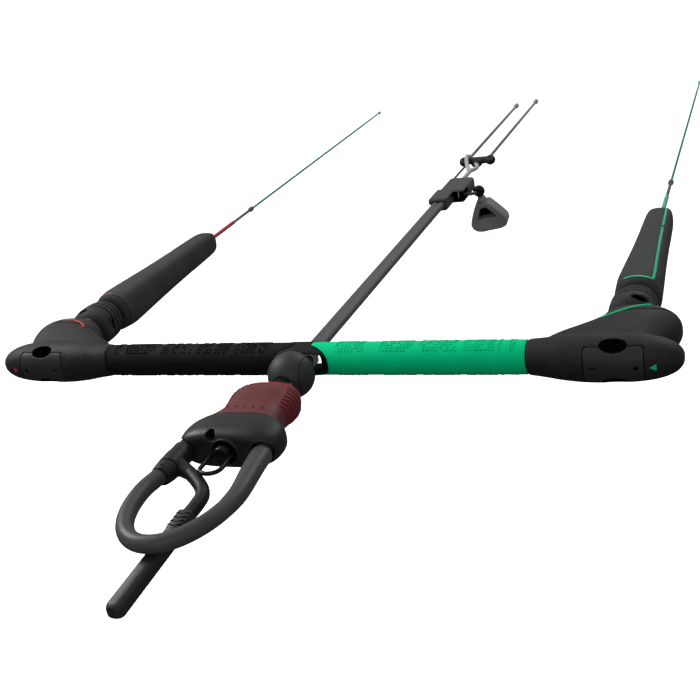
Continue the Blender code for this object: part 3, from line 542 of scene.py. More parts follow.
LOBE = spline([(183.3, 13.45, 13.45), (196, 15.0, 14.8), (210, 16.9, 16.8), (228, 18.2, 18.0),
               (246, 18.4, 18.0), (262, 18.1, 17.2), (274, 17.2, 15.6), (283, 15.2, 13.2),
               (290, 11.6, 10.0), (294, 7.6, 6.2), (295.6, 4.0, 3.2)], 5)
SHOULDER = spline([(-4, 194, 272, 13.0), (8, 188, 277, 15.8), (18, 194, 282.5, 16.8), (28, 207, 287.5, 17.6),
                   (38, 219, 290.5, 18.2), (48, 227, 291, 18.3), (55, 229.5, 286.5, 17.8),
                   (58, 231, 280, 16.8)], 5)


def end_lobe(side, grow=0.0):
    outlines = []
    for x, half_y, half_z in LOBE:
        lean = -0.7 * min(1.0, (x - 183.3) / 40)
        outlines.append(oval((side * x, lean, lean), Y, Z, half_y + grow, half_z + grow, 2.15))
    return loft(outlines)


def end_shoulder(side, grow=0.0):
    return loft([oval((side * (low + high) / 2, y, 0), X, Z, (high - low) / 2 + grow, half_z + grow, 2.5)
                 for y, low, high, half_z in SHOULDER])


def shoulder_top(side, x, y):
    """Height of the shoulder's upper surface."""
    _, low, high, half_z = interpolate(SHOULDER, y)
    across = min(0.999, abs(x - (low + high) / 2) / ((high - low) / 2))
    return half_z * (1 - across ** 2.5) ** 0.4


def behind_seam(side, offset):
    seam = [(side * x, y + offset) for x, y in ((184, 38), (310, 52))]
    outline = [(*seam[0], 0), (*seam[1], 0), (seam[1][0], 120, 0), (seam[0][0], 120, 0)]
    return loft([[Vector(point) + Vector((0, 0, z)) for point in outline] for z in (-40, 40)])


def pocket(side, gap):
    low, high = sorted((side * (226 - gap), side * (268.6 + gap)))
    return block((low, -40, -13 - gap), (high, -6 + gap, 13 + gap), 2.4)


def thumb_recess(side, up, grow=0.0):
    return ball((side * 247.4, -12.4, up * 14.6), 1.0, (9.6 + grow, 6.5 + grow, 5.2 + grow))


def thumb_rooms(side):
    return [thumb_recess(side, up, 0.7) for up in (1, -1)]


def prism(outline, front, back):
    """An outline in X and Z drawn out along Y."""
    return loft([[Vector((x, y, z)) for x, z in outline] for y in (front, back)])


def pointer_outline(side, grow):
    apex, base, half = 272.6 - 2 * grow, 277.4 + grow, 2.6 + 1.5 * grow
    return [(side * apex, -1), (side * base, half - 1), (side * base, -half - 1)]


def make_bar_end(name, side):
    centre = (side * LINE_X, KNUCKLE_Y, 0)
    whole = formed(end_lobe(side), join=[end_shoulder(side)], voxel=0.6, smooth=34)
    end = formed(whole, cut=[behind_seam(side, -0.9), pocket(side, 0.5), *thumb_rooms(side),
                             rod((side * 178, 0, 0), (side * 187.5, 0, 0), 12.2), ball(centre, KNUCKLE_ROOM)],
                 voxel=0.45, smooth=2, thin=0.45)
    place("end_cover_" + name, end, "bar_end", "bar", "bar_end_" + name)

    collar = formed(end_shoulder(side), keep=[behind_seam(side, 0.8)],
                    cut=[ball(centre, KNUCKLE_ROOM), rod(centre, (side * LINE_X, 60, 0), 14.5, 18.7)],
                    voxel=0.5, smooth=5, thin=0.5)
    place("collar_" + name, collar, "collar", "bar", "end_collar_" + name)
    # A near-black strip sunk in the gap between the collar and the bar end: painted shade in the seam.
    line = formed(end_shoulder(side, -0.8), keep=[behind_seam(side, -1.4)],
                  cut=[behind_seam(side, 1.3), ball(centre, KNUCKLE_ROOM + 0.2)])
    place("collar_seam_shade_" + name, line, "mark", "bar")


def make_insert(name, side):
    """The size insert, the black pads of its thumb recesses, and its minus and plus marks."""
    insert = formed(end_lobe(side), keep=[pocket(side, -0.1)], cut=thumb_rooms(side),
                    voxel=0.4, smooth=3, thin=0.6)
    body = "size_insert_" + name
    place("insert_" + name, insert, "insert", body, body, slot="insert")
    for up, word in ((1, "top"), (-1, "under")):
        for holder, room in ((body, {"keep": [end_lobe(side, -0.3), pocket(side, -0.2)]}),
                             ("bar", {"keep": [end_lobe(side, -0.3)], "cut": [pocket(side, 0.5)]})):
            pad = formed(formed(thumb_recess(side, up, 0.8), **room), cut=[thumb_recess(side, up, -0.2)])
            place(f"thumb_pad_{name}_{word}_{holder}", pad, "mark", holder, slot="insert")

    for number, (x, half_x, half_z) in enumerate(((232.7, 2, 0.5), (263, 2, 0.5), (263, 0.5, 2))):
        mark = prism([(side * x + a * half_x, b * half_z - 1) for a, b in CORNERS], -25, -12)
        shape = formed(mark, keep=[end_lobe(side, 0.15)], cut=[end_lobe(side, -0.5)])
        place(f"size_mark_{name}_{number}", shape, "mark", body, slot="insert")


def make_inlays(name, side):
    """The coloured pointer beside the insert and the coloured line on the collar."""
    colour = SIDE_COLOUR[side]
    pointer = formed(prism(pointer_outline(side, 0), -25, -12), keep=[end_lobe(side, 0.15)])
    place("pointer_" + name + "_inlay", pointer, colour, "bar", "pointer_" + name, slot=colour)

    arc = [(233, 34.5), (240, 39.5), (249, 46), (259, 52), (268, 56)] if side > 0 else \
        [(262, 51), (252, 50), (243, 46.5), (236, 41), (233.5, 36.5), (235.5, 34)]
    path = [(side * x, y, shoulder_top(side, x, y) + 0.1) for x, y in spline(arc, 6)]
    place("collar_inlay_" + name, sweep(path, 0.95, 12, flat=0.7), colour, "bar", slot=colour)
    tip_x, tip_y = 272 if side > 0 else 241, 57.2
    tip = ball((side * tip_x, tip_y, shoulder_top(side, tip_x, tip_y) - 0.3), 1.3, (1.2, 0.8, 0.8), 20, 12)
    place("collar_tip_" + name, tip, colour, "bar", slot=colour)


def grip_stud(centre, long_way, short_way, out):
    return loft([[centre + long_way * a * length + short_way * b * width + out * height for a, b in CORNERS]
                 for length, width, height in ((1.15, 0.5, -0.25), (0.9, 0.32, 0.42))])


def make_grip(name, side):
    seam = GRIP_END - 0.4
    grip = formed(rod((side * 8.1, 0, 0), (side * seam, 0, 0), GRIP_R, segments=96, soft=0.5),
                  cut=[rod((0, 0, 0), (side * 190, 0, 0), 10.1), oval_bar(24.6, 13.4, -20, 20, 2.6)])
    place("sleeve_grip_" + name, grip, "grip_" + name, "bar", "grip_" + name, slot="grip_" + name)

    rng = random.Random(7 if side < 0 else 8)
    studs = []
    spacing, rows = 2.7, 8
    for column in range(int((seam - 34) / spacing)):
        if column % 13 in (0, 12) or rng.random() < 0.06:
            continue
        for middle in (90, -90):
            for row in range(rows):
                if rng.random() < 0.2:
                    continue
                turn = radians(middle + (row - (rows - 1) / 2) * 11.5)
                along = side * (28 + spacing * column + rng.uniform(-0.2, 0.2))
                lean = radians(rng.choice((35, -35, 35, 90)))
                out = Vector((0, -cos(turn), sin(turn)))
                round_way = X.cross(out)
                long_way = X * cos(lean) + round_way * sin(lean)
                centre = Vector((along, 0, 0)) + out * GRIP_R
                studs.append(grip_stud(centre, long_way, out.cross(long_way), out))
    place("grip_studs_" + name, merged(*studs), "stud_" + name, "bar", slot="grip_" + name, angle=30)


def make_hub():
    mouth = spline([(17, 24.0, 12.0), (13, 22.6, 10.4), (11, 20.8, 9.2), (6, 16, 7.5)], 4)
    flares = [loft([oval((0, facing * y, 0), X, Z, a, b, 4) for y, a, b in mouth]) for facing in (1, -1)]
    hub = formed(rod((-24, 0, 0), (24, 0, 0), GRIP_R + 0.5, segments=96),
                 keep=[oval_bar(24, 12.8, -20, 20, 2.6)],
                 join=[rod((-7.7, 0, 0), (7.7, 0, 0), GRIP_R + 0.05, segments=96),
                       rod((-42, 0, 0), (42, 0, 0), 8)])
    hub = formed(hub, cut=[oval_bar(16, 7.5, -20, 20, 4)] + flares, voxel=0.4, smooth=5, thin=0.6)
    place("hub_cover", hub, "hub", "bar", "centre_hub")
    liner = formed(oval_bar(9.6, 5.9, -4, 4, 5), cut=[oval_bar(8.1, 4.4, -6, 6, 5)], voxel=0.25, smooth=3)
    place("liner", liner, "liner", "hub_liner", "hub_liner", slot="rope")


# The floats

def square_reach(y, radius, turn):
    """How far out the skin lies: four crowned faces with edges at 45 degrees, rounder near the base."""
    off = (turn + pi / 4) % (pi / 2) - pi / 4
    face, crown = 0.95 * radius, 2.6 * radius
    reach = (face - crown) * cos(off) + sqrt(crown ** 2 - ((face - crown) * sin(off)) ** 2)
    reach = (reach ** -50 + (1.085 * radius) ** -50) ** (-1 / 50)
    square = min(1.0, max(0.2, (y - 106) / 20))
    return reach * square + radius * (1 - square)


def soft_square(y, x, radius, points=120):
    return [Vector((x, y, 0)) + square_reach(y, radius, turn) * Vector((cos(turn), 0, sin(turn)))
            for turn in (2 * pi * (k + 0.5) / points for k in range(points))]


FLOAT_ROWS = spline([(FLOAT_START, 16.4), (109.6, 18.0), (112, 19.0), (125, 19.6), (150, 18.7), (180, 17.4),
                     (215, 16.0), (FLOAT_SEAM - 2.0, 14.8), (FLOAT_SEAM - 1.0, 14.0)], 4)
CAP_ROWS = spline([(FLOAT_SEAM + 1.6, 14.0), (FLOAT_SEAM + 2.6, 14.8), (292, 14.1), (309, 13.5), (318, 12.5),
                   (323.5, 10.5), (326, 8.6), (326.8, 7.2)], 5)


def float_strip(side, route, half, look, name, body):
    """A flat inlay that follows (y, degrees round the float) points on its skin."""
    x = side * LINE_X
    rows = sorted(set(FLOAT_ROWS + CAP_ROWS))

    def skin(y, degrees):
        turn = radians(degrees)
        reach = square_reach(y, interpolate(rows, y)[1], turn)
        return Vector((x + side * reach * cos(turn), y, reach * sin(turn)))

    outlines = []
    for k, (y, degrees) in enumerate(route):
        here = skin(y, degrees)
        ahead = skin(*route[min(k + 1, len(route) - 1)]) - skin(*route[max(k - 1, 0)])
        out = Vector((here.x - x, 0, here.z)).normalized()
        across = ahead.cross(out).normalized()
        outlines.append([here + across * half * a + out * b for a, b in
                         ((-1, -0.6), (-1, 0.08), (-0.6, 0.22), (0.6, 0.22), (1, 0.08), (1, -0.6))])
    place(name, loft(outlines), look, body, slot=look, angle=50)


def make_knuckle(name, side):
    x = side * LINE_X
    body_rows = spline([(50, 12.4), (62.5, 12.6), (66.5, 16.8), (71, 19.2), (84, 19.6), (94, 18.8),
                        (99, 17.4), (100, 16.2)], 4)
    flanks = [(x + side * 9, 71.5, up * 16.8) for up in (1, -1)]
    hollows = [ball(flank, 1, (10.5, 3.6, 4.4)) for flank in flanks]
    hollows += [ball((x + out * 20.4, 79, 0), 1, (3.6, 8, 10)) for out in (1, -1)]
    hollows += [band(y, 1.7, 16.6, 23, (x, 0, 0), Y, 48) for y in (82, 87.5, 93)]
    knuckle = formed(ball((x, KNUCKLE_Y, 0), 14),
                     join=[loft([soft_square(y, x, radius) for y, radius in body_rows])], voxel=0.6)
    knuckle = formed(knuckle, cut=[ball((x, HINGE_Y, 0), 11.7)] + hollows,
                     voxel=0.45, smooth=5, thin=0.5)
    body = "knuckle_" + name
    place("knuckle_cover_" + name, knuckle, "knuckle", body, "float_knuckle_" + name, slot="float")
    # Near-black linings at the bottoms of the knuckle's grooves and flank hollows: painted shade in the
    # recesses.
    rings = [band(y, 1.9, 15.8, 17.6, (x, 0, 0), Y) for y in (81.9, 87.4, 92.9)]
    flank_slot_shades = [formed(ball(flank, 1, (10.9, 4.0, 4.8)), keep=[rod_y(x, 60, 90, 18.0)],
                    cut=[ball(flank, 1, (10.1, 3.2, 3.9))]) for flank in flanks]
    place("knuckle_groove_shade_" + name, merged(*rings, *flank_slot_shades), "mark", body, slot="float")


def make_float(name, side):
    x = side * LINE_X
    neck = formed(ball((x, HINGE_Y, 0), 11.2), join=[rod_y(x, HINGE_Y, 122, 7.6)])
    place("neck_" + name, neck, "mark", "float_" + name, "float_neck_" + name)

    room = [ball((x, HINGE_Y, 0), 11.8), rod_y(x, HINGE_Y, 122.3, 7.9),
            band(111, 1.4, 17.4, 23, (x, 0, 0), Y, 48)]
    body = formed(loft([soft_square(y, x, radius) for y, radius in FLOAT_ROWS]), cut=room)
    place("foam_" + name, body, "foam", "float_" + name, "float_" + name, slot="float", angle=35)
    cap = formed(loft([soft_square(y, x, radius) for y, radius in CAP_ROWS]),
                 cut=[rod_y(x, FLOAT_STOP - 6.5, FLOAT_STOP + 4, 3.8, segments=32)])
    place("foam_cap_" + name, cap, "foam", "float_" + name, "float_cap_" + name, slot="float", angle=35)

    # A near-black cylinder in the gap between the float and its cap: painted shade in the seam.
    seam = rod_y(x, FLOAT_SEAM - 1.6, FLOAT_SEAM + 2.2, 13.5, segments=64)
    place("float_seam_shade_" + name, seam, "mark", "float_" + name, slot="float")


def make_stripes(name, side):
    """The coloured line along each float, its turn at the base, and the leader's coloured sleeve."""
    colour = SIDE_COLOUR[side]
    base, drift, reach = (43, 0, 8) if side < 0 else (51, 0.045, 11)

    def along(places):
        return [(y, base + drift * (y - 116)) for y in places]

    turn_in = [(116, base), (115.2, base + 4), (114.9, base + 11)]
    turn_in += [(114.8, base + 11 + 6 * k) for k in range(1, reach)]
    low = along(FLOAT_SEAM - 2.4 - k * 8.2 for k in range(17)) + turn_in
    float_strip(side, low, 1.15, colour, "float_line_" + name, "float_" + name)
    high = along([FLOAT_SEAM + 2.9 + k * 5 for k in range(13)] + [321, 323, 324.6])
    float_strip(side, high, 1.15, colour, "cap_line_" + name, "float_" + name)

    x = side * LINE_X
    sleeve = sweep(straight(x, FLOAT_STOP - 4.7, 391.7, 24), 2.2, 20)
    place("leader_cover_" + name, sleeve, "leader_" + colour, "line_" + name, "leader_sleeve_" + name,
          slot="leader_" + colour)


# The centre line: tube, ball and quick release

def make_depower_tube():
    radius, lobe, web = 3.75, 3.65, 2.6
    start = pi - asin(web / radius)
    turns = [start * (2 * k / 30 - 1) for k in range(31)]
    right = [(lobe + radius * cos(t), radius * sin(t)) for t in turns]
    outline = right + [(-x, -z) for x, z in right]
    sections = [[Vector((x, -22.5 + k * 443 / 40, z)) for x, z in outline] for k in range(41)]
    place("depower_cover", loft(sections), "depower", "centre_line", "depower_tube", slot="depower", angle=50)


def make_ball():
    deep = []
    for x in (-12.6, 12.6):
        reach = sqrt(BALL_R ** 2 - x ** 2)
        deep.append(band(x - 0.3, 0.6, reach - 0.5, reach + 2, (0, BALL_Y, 0), X, 96))
    shell = formed(ball((0, BALL_Y, 0), BALL_R, segments=96, rings=64),
                   cut=[rod_y(0, -26, 0, 8.6), rod_y(0, -60, -20, 4.4), rod_y(0, -52, -46.5, 8.6, 7), *deep])
    place("ball_cover", shell, "ball", "swivel_ball", "swivel_ball", slot="housing", angle=35)


SLEEVE_ROWS = [(-122.8, 32.4, 15.2), (-119, 30.0, 15.0), (-114, 27.0, 14.8), (-106, 24.8, 14.6),
               (-97, 25.2, 14.9), (-89, 26.8, 15.4), (-82, 27.2, 15.5), (-75.5, 25.8, 14.8),
               (-72, 24.2, 13.4), (-70.5, 22.6, 11.6)]
SLEEVE_POWER = 2.7


def sleeve_skin(y, degrees, side, lift=0.0):
    """A point on the sleeve's skin, degrees up from its side."""
    _, half_x, half_z = interpolate(spline(SLEEVE_ROWS, 5), y)
    turn = radians(degrees)
    c, s = cos(turn), sin(turn)
    x = (half_x + lift) * abs(c) ** (2 / SLEEVE_POWER)
    z = (half_z + lift) * copysign(abs(s) ** (2 / SLEEVE_POWER), s)
    return Vector((side * x, y, z))


def sleeve_bows(side, y, reach, lift, radius, sides):
    """Seven bars bowed round one side of the sleeve, each shorter and nearer the rider than the last."""
    bows = []
    for k in range(7):
        high, wide = y - 3.9 * k, reach - 3.2 * k
        path = [sleeve_skin(high - 2.6 * (t / wide) ** 2, t, side, lift)
                for t in (wide * (j / 9 - 1) for j in range(19))]
        bows.append(sweep(path, radius, sides))
    return bows


def make_release_sleeve():
    cuts = [oval_bar(14.8, 7.7, -130, -60, 5), oval_bar(22.2, 7.7, -86.5, -60, 5)]
    teeth, ribs = [], []
    for side in (-1, 1):
        cuts.append(merged(*sleeve_bows(side, -76, 50, 0.35, 1.15, 10)))
        ribs += sleeve_bows(side, -77.9, 47, -0.25, 0.7, 8)
        for t in (k / 19 for k in range(20)):
            teeth.append(ball(sleeve_skin(-74 - 28 * t, 56 - 20 * t, side), 0.55, segments=10, rings=6))
    sleeve = formed(loft_y(SLEEVE_ROWS, SLEEVE_POWER), cut=cuts, voxel=0.38, smooth=3, thin=0.55)
    place("sleeve_cover", sleeve, "release", "release_sleeve", "release_sleeve", slot="release_red")
    place("sleeve_teeth", merged(*teeth), "release_bright", "release_sleeve", slot="release_red")
    place("sleeve_ribs", merged(*ribs), "rib", "release_sleeve", slot="release_red")
    dots = [ball((x, -113.5, 14.75), 0.7, (1, 1.2, 0.5), 14, 8) for x in (-14, -7, 0, 7, 14)]
    place("sleeve_dots", merged(*dots), "mark", "release_sleeve", slot="release_red")
    lip = [sleeve_skin(-71.4, t, side, 0.1) for side, t in
           [(1, a) for a in range(0, 90, 6)] + [(-1, a) for a in range(90, 0, -6)]
           + [(-1, -a) for a in range(0, 90, 6)] + [(1, -a) for a in range(90, 0, -6)]]
    place("sleeve_lip", sweep(lip, 0.7, 10, closed=True), "release_bright", "release_sleeve",
          slot="release_red")


def make_housing():
    rows = [(-154.2, 29.0, 8.6), (-153.8, 31.6, 10.8), (-152.4, 34.4, 12.8), (-149.5, 37.1, 14.4),
            (-145, 38.5, 15.3), (-138, 38.9, 15.7), (-131, 37.8, 15.7), (-126, 35.2, 15.4),
            (-123.3, 33.0, 15.2)]
    rim = rod_y(0, -155.2, -146, 10.3)
    housing = formed(formed(loft_y(rows, 2.8), join=[rim], voxel=0.5),
                     cut=[rod_y(RIGHT_ARM_X, -160, -143, 8.0), rod_y(-ARM_X, -160, -143, 7.8),
                          block((-35.2, -150, -3.6), (-27.8, -130, 3.6)),
                          rod_y(0, -160, -146, 9.2), rod_y(-20, -143, -120, 2.2),
                          rod((-9.5, -160, 13.4), (-9.5, -141, 9.6), 3.8)],
                     voxel=0.42, smooth=5, thin=0.5)
    place("housing_cover", housing, "housing", "centre_line", "qr_housing", slot="housing")


def loop_path(steps=5):
    right = [(RIGHT_ARM_X, -148, 0), (28.9, -166, 0), (30.6, -178, 0), (33.2, -191, 0)]
    front = half_oval(35.6, -205, 61.8, 12)
    left = [(-33.7, -191, 0), (-32.13, -178, 0), (-ARM_X, -166, 0), (-ARM_X, -148, 0)]
    return spline(right + front + left, steps)


def make_loop():
    swell = loft([oval((x, y, 0), X, Z, a, b, 2.2, 48) for y, x, a, b in spline(
        [(-154.9, 29.3, 6.8, 6.0), (-155.6, 29.4, 7.6, 6.6), (-163, 29.8, 7.8, 6.7), (-171, 30.6, 7.6, 6.6),
         (-181, 31.8, 7.4, 6.5), (-191, 33.2, 7.1, 6.4), (-201, 34.5, 6.7, 6.3), (-211, 35.0, 6.4, 6.1),
         (-221, 34.3, 6.0, 6.0)], 4)])
    tube = merged(sweep(loop_path(), LOOP_R + 0.4, 40), swell)
    place("loop_tube", formed(tube, voxel=0.4, smooth=6, thin=0.4), "loop", "chicken_loop", "chicken_loop",
          slot="loop")
    x = -ARM_X
    collar = turned([(-165, 5.9), (-165, 7.9), (-164.6, 8.3), (-155, 8.3), (-154.6, 7.9), (-154.4, 7.2),
                     (-148, 7.2), (-148, 5.9)], (x, 0, 0), Y, closed=True)
    place("loop_collar_cover", collar, "loop_fitting", "chicken_loop", "loop_collar", slot="loop")
    cap = formed(loft([oval((x - 0.07 * (-179.7 - y), y, 0), X, Z, r, r, 2, 48) for y, r in
                       ((-189.4, 6.6), (-189, 7.2), (-187.6, 7.6), (-184, 8.1), (-181, 8.5), (-179.9, 8.4),
                        (-179.7, 8.0))]),
                 cut=[sweep(loop_path(), 5.7, 32)], voxel=0.35, smooth=2, thin=0.6)
    place("loop_cap_cover", cap, "loop_fitting", "chicken_loop", "loop_cap", slot="loop")
    mark = ball((x - 0.9, -184.4, 7.9), 1, (2.6, 2.8, 0.5), 24, 12)
    place("loop_cap_mark", mark, "rod", "chicken_loop", slot="loop")


def make_keeper():
    x = -ARM_X
    knots = [(-27, -172, -1.5), (-16, -177.5, -4), (-4, -187.5, -6.8), (2.4, -197.5, -8), (3.0, -208, -9.2),
             (2, -218.8, -10.3)]
    arm = formed(rod_y(x, -178.7, -165.3, 8.7, soft=0.6),
                 join=[sweep(spline(knots, 6), 5.0, 28), rod((-29, -171.5, -1), (-17, -177, -3.8), 6.8, 5.0)],
                 voxel=0.5)
    arm = formed(arm, cut=[rod_y(x, -182, -160, 7.0, 6.0)], voxel=0.38, smooth=5, thin=0.6)
    place("locking_arm_cover", arm, "loop_fitting", "locking_tube", "locking_arm", slot="loop")

    start, tip = Vector((2, -219.4, -10.3)), Vector((2, -315, -14.6))
    along = (tip - start).normalized()
    up = along.cross(X)
    rows = [(0.0, 5.8), (0.6, 6.3), (18, 6.1), (19, 5.8), (92.2, 5.8), (94.4, 5.2), (95.8, 4.2)]
    outlines = [oval(start + along * s, X, up, r, r * 0.94, 3.2, 48) for s, r in rows]
    vees = []
    for k in range(4):
        middle = start + along * (3.2 + 4.2 * k)
        vee = [middle + X * a * 5.0 + up * (5.62 - 0.9 * abs(a) ** 6) + along * 2.4 * (1 - abs(a))
               for a in (j / 8 - 1 for j in range(17))]
        vees.append(sweep(vee, 0.45, 8))
    place("keeper_cover", loft(outlines), "rod", "locking_tube", "keeper_rod", slot="loop", angle=30)
    place("keeper_vees", merged(*vees), "mark", "locking_tube", slot="loop")


def make_safety():
    stub = formed(turned([(-161.0, 0), (-161, 5.4), (-160.6, 6.2), (-159.8, 6.6), (-152, 6.6), (-151.4, 6.1),
                          (-149.6, 6.1), (-149, 6.6), (-146.4, 6.6), (-146.4, 0)], (0, 0, 0), Y),
                  cut=[rod((-10, RING_Y, 0), (10, RING_Y, 0), 1.8, segments=32)])
    place("safety_stub", stub, "black_steel", "safety_swivel", "safety_swivel", slot="black_steel", angle=30)
    half = 8
    corner = [(-half, RING_Y - 2, 0), (-half + 0.6, RING_Y - 0.6, 0), (-half + 2, RING_Y, 0)]
    path = corner + [(0, RING_Y, 0)] + [(-px, py, 0) for px, py, _ in reversed(corner)]
    path += [(half, -166, 0)] + half_oval(half, -175.3, half, 24) + [(-half, -166, 0)]
    place("safety_wire", sweep(path, 1.6, 18, closed=True), "black_steel", "safety_ring", "safety_ring",
          slot="black_steel")


# The trim: cleat, rope, splitter and toggle

def make_cleat():
    near = block((-12, CLEAT_Y0, -7.5), (9.5, 452, 7.5), 2.8, 5)
    far = block((-8, 442, -8), (22.5, CLEAT_Y1, 8), 4.0, 5)
    cleat = formed(formed(near, join=[far], voxel=0.5),
                   cut=[oval_bar(8.2, 4.5, CLEAT_Y0 - 10, 421, 3),
                        rod_y(ROPE_X, 430, 510, 3.4, z=ROPE_Z),
                        rod_y(TAIL_X, 430, 490, 2.5, z=TAIL_Z),
                        rod_y(SAFETY_X, 400, 510, 1.8, z=SAFETY_Z),
                        block((9.2, 435.3, -6.1), (30, 462.7, 5.3), 1.0)],
                   voxel=0.42, smooth=6, thin=0.5)
    place("cleat_cover", cleat, "cleat", "centre_line", "trim_cleat", slot="cleat")
    # A near-black lining on the walls of the cleat's side slot: painted shade inside the slot.
    slot_wall_shade = formed(block((9.4, 443, -5.9), (21.6, 462.5, 5.1), 0.8),
                    cut=[block((10, 430, -5.3), (30, 461.9, 4.5))])
    place("cleat_slot_shade", slot_wall_shade, "mark", "centre_line", slot="cleat")
    jaw = formed(block((10.4, 459.5, -5.0), (21.5, 461.6, 4.2), 0.4),
                 cut=[rod_y(TAIL_X, 450, 470, 2.5, z=TAIL_Z)])
    place("cleat_jaw", jaw, "mark", "centre_line", slot="cleat")
    repaint("steel", "cleat_roller")


def make_trim_lines():
    left = [(ROPE_X - 1, 538, ROPE_Z), (-2.5, 561, 3.8), (-9.5, 585, 5.0), (-FRONT_X, 603, 5.6),
            (-FRONT_X, 614, 2.6), (-FRONT_X, 622, 0.3)]
    right = [(ROPE_X, 539, ROPE_Z), (ROPE_X + 2.5, 558, 1), (6, 576, -1), (1, 588, -1.5)]
    left, right = spline(left, 6), spline(right, 6)
    stem = sweep(straight(ROPE_X, 478, 545, 16, z=ROPE_Z), 2.5, 24)
    rope = merged(stem, sweep(left, 2.6, 20), sweep(right, 2.5, 20))
    place("trim_rope_cover", rope, "rope", "trim_lines", "trim_rope", slot="rope")

    lobes = [ball((-17.5, 602, -1), 7.4, (0.8, 1.0, 0.8)), ball((17, 602, -0.5), 7.4, (0.85, 1.0, 0.85)),
             ball((0, 597, -2), 8.2, (0.9, 0.9, 0.75))]
    cuts = [rod_y(FRONT_X, 603, 630, FRONT_R + 0.4), ball((18.4, 597.0, 3.4), 2.6),
            rod_y(SAFETY_X, 570, 599, 1.6, z=SAFETY_Z),
            sweep(right, 2.8, 20), sweep(left, 2.9, 20)]
    splitter = formed(block((-19, 596, -4), (19, 608, 3.6), 2.6), join=lobes, voxel=0.5)
    splitter = formed(splitter, cut=cuts, voxel=0.34, smooth=4, thin=0.5)
    place("splitter_cover", splitter, "splitter", "trim_lines", "line_splitter")
    eyelet = band(0, 0.7, 1.2, 2.5, (17.9, 598.1, 2.4), Vector((0.1, -0.8, 0.6)), 32)
    place("splitter_eyelet", eyelet, "cleat", "trim_lines")
    safety = sweep(straight(SAFETY_X, 451.5, 598.5, 24, z=SAFETY_Z), 1.3, 16)
    place("safety_line_cover", safety, "line_grey", "trim_lines", "safety_line", slot="line_grey")


def toggle_point(x, y, z):
    """A place below the ball, along the leaning handle."""
    turn = Matrix.Rotation(TOGGLE_SWING, 3, "X") @ Matrix.Rotation(-TOGGLE_LEAN, 3, "Y")
    return TOGGLE + turn @ Vector((x, y, z))


def make_toggle():
    upward = toggle_point(0, 0, 1) - TOGGLE
    bend = [(TAIL_X, 462, TAIL_Z), (19.3, 458, -2), (23, 457, -2.3), (27, 460, -3), (30, 466.5, -4)]
    line = sweep(straight(TAIL_X, 488, 462, 8, z=TAIL_Z)[:-1] + spline(bend, 6), 1.8, 18)
    place("toggle_line_cover", line, "line_grey", "trim_tail", "toggle_line", slot="line_grey")

    stopper = formed(ball(TOGGLE, 6.8), cut=[ball((30, 465.5, -4), 5.2)])
    place("toggle_ball_cover", stopper, "hub", "trim_toggle", "toggle_ball", angle=35)
    collar = turned([(-13.3, 0), (-13.3, 5.2), (-12.6, 5.6), (-10.8, 5.2), (-10.4, 4.6), (-8.4, 4.4),
                     (-7.2, 3.8), (-7.2, 0)], TOGGLE, upward, 40)
    place("toggle_collar_cover", collar, "toggle", "trim_toggle", "toggle_collar", slot="rope", angle=30)
    rim = band(-9.9, 0.9, 4.2, 4.9, TOGGLE, upward, 40)
    place("toggle_band", rim, "liner", "trim_toggle", slot="rope")

    half = [(8, -13.6), (13, -21), (19.5, -32), (22.6, -39), (22.2, -44.5), (18.5, -49), (12, -51)]
    outer = half + [(-x, z) for x, z in reversed(half)]
    inner = [(-4, -19), (-12.5, -34), (12.5, -34), (4, -19)]

    def plate(outline, front, back):
        return loft([[toggle_point(x, y, z) for x, z in outline] for y in (front, back)])

    handle = formed(plate(outer, -8.5, 6.5), voxel=0.7, smooth=16)
    handle = formed(handle, cut=[plate(inner, -12, 2)], voxel=0.42, smooth=4, thin=0.5)
    place("toggle_grip", handle, "toggle", "trim_toggle", "toggle_handle", slot="cleat")
    # A near-black sheet at the floor of the handle's recess: painted shade in the recess.
    recess_shade = [(a * 0.96, -26.5 + (b + 26.5) * 0.96) for a, b in inner]
    place("toggle_recess_shade", plate(recess_shade, 1.2, 1.8), "mark", "trim_toggle", slot="cleat")


def make_inner_looks():
    repaint("steel", "release_pin", "loop_tongue", "sleeve_spring_left", "sleeve_spring_right",
            "knuckle_pin_left", "knuckle_pin_right")
    repaint("black_steel", "release_core", "swivel_spindle")
    repaint("dark", "neck_bearing")
    repaint("carbon", "core_tube_left", "core_tube_right")


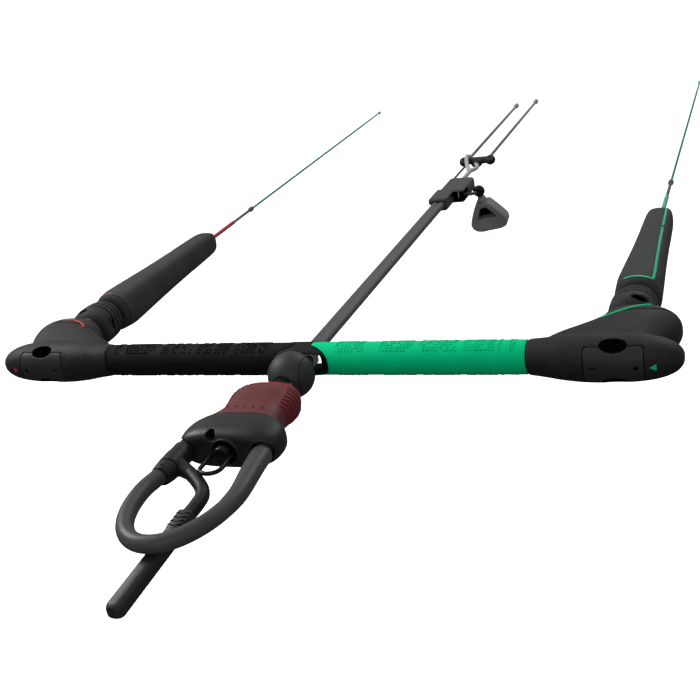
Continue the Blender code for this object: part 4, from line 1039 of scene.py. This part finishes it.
make_hub()
for side_name, sign in SIDES.items():
    make_grip(side_name, sign)
    make_bar_end(side_name, sign)
    make_insert(side_name, sign)
    make_inlays(side_name, sign)
    make_knuckle(side_name, sign)
    make_float(side_name, sign)
    make_stripes(side_name, sign)
make_depower_tube()
make_ball()
make_release_sleeve()
make_housing()
make_loop()
make_keeper()
make_safety()
make_cleat()
make_trim_lines()
make_toggle()
make_inner_looks()


# The studio

def make_studio():
    bm = bmesh.new()
    bmesh.ops.create_grid(bm, x_segments=1, y_segments=1, size=25)
    floor = add_object("floor", mesh_from("floor", bm))
    floor.location = (0, 0, -0.55)
    tree, shader = graph("floor", 0.9)
    grain = node(tree, "TexNoise", Scale=3.0, Detail=4.0)
    tree.links.new(ramp(tree, grain, [(0.3, (0.9, 0.9, 0.9)), (0.7, (0.93, 0.93, 0.93))]),
                   shader.inputs["Base Color"])
    shader.inputs["Emission Color"].default_value = (1, 1, 1, 1)
    shader.inputs["Emission Strength"].default_value = 0.75
    floor.data.materials.append(LOOKS["floor"])
    floor.visible_diffuse = floor.visible_glossy = False

    world = bpy.data.worlds.new("studio")
    world.use_nodes = True
    tree = world.node_tree
    height = node(tree, "SeparateXYZ", 2, Vector=node(tree, "TexCoord", "Generated"))
    sky = ramp(tree, node(tree, "MapRange", Value=height, From_Min=-1.0, From_Max=1.0),
               [(0.0, (0.06, 0.06, 0.06)), (0.45, (0.22, 0.22, 0.22)), (0.75, (0.6, 0.6, 0.6))])
    tree.links.new(sky, tree.nodes["Background"].inputs["Color"])
    tree.nodes["Background"].inputs["Strength"].default_value = 1.0
    bpy.context.scene.world = world

    for name, at, aim, size, power in (
            ("top_left", (-0.95, 0.4, 0.85), (-0.2, 0.25, 0), 0.7, 15),
            ("top_back", (0.5, 1.7, 1.1), (0, 0.3, 0), 1.1, 7),
            ("front", (0.6, -1.5, 0.7), (0, 0, 0), 0.9, 5)):
        data = bpy.data.lights.new(name, "AREA")
        data.shape, data.size, data.energy = "DISK", size, power
        lamp = add_object(name, data)
        lamp.location = at
        lamp.rotation_euler = (Vector(aim) - Vector(at)).to_track_quat("-Z", "Y").to_euler()


make_studio()
bpy.context.scene.view_settings.view_transform = "Standard"

bpy.context.view_layer.update()
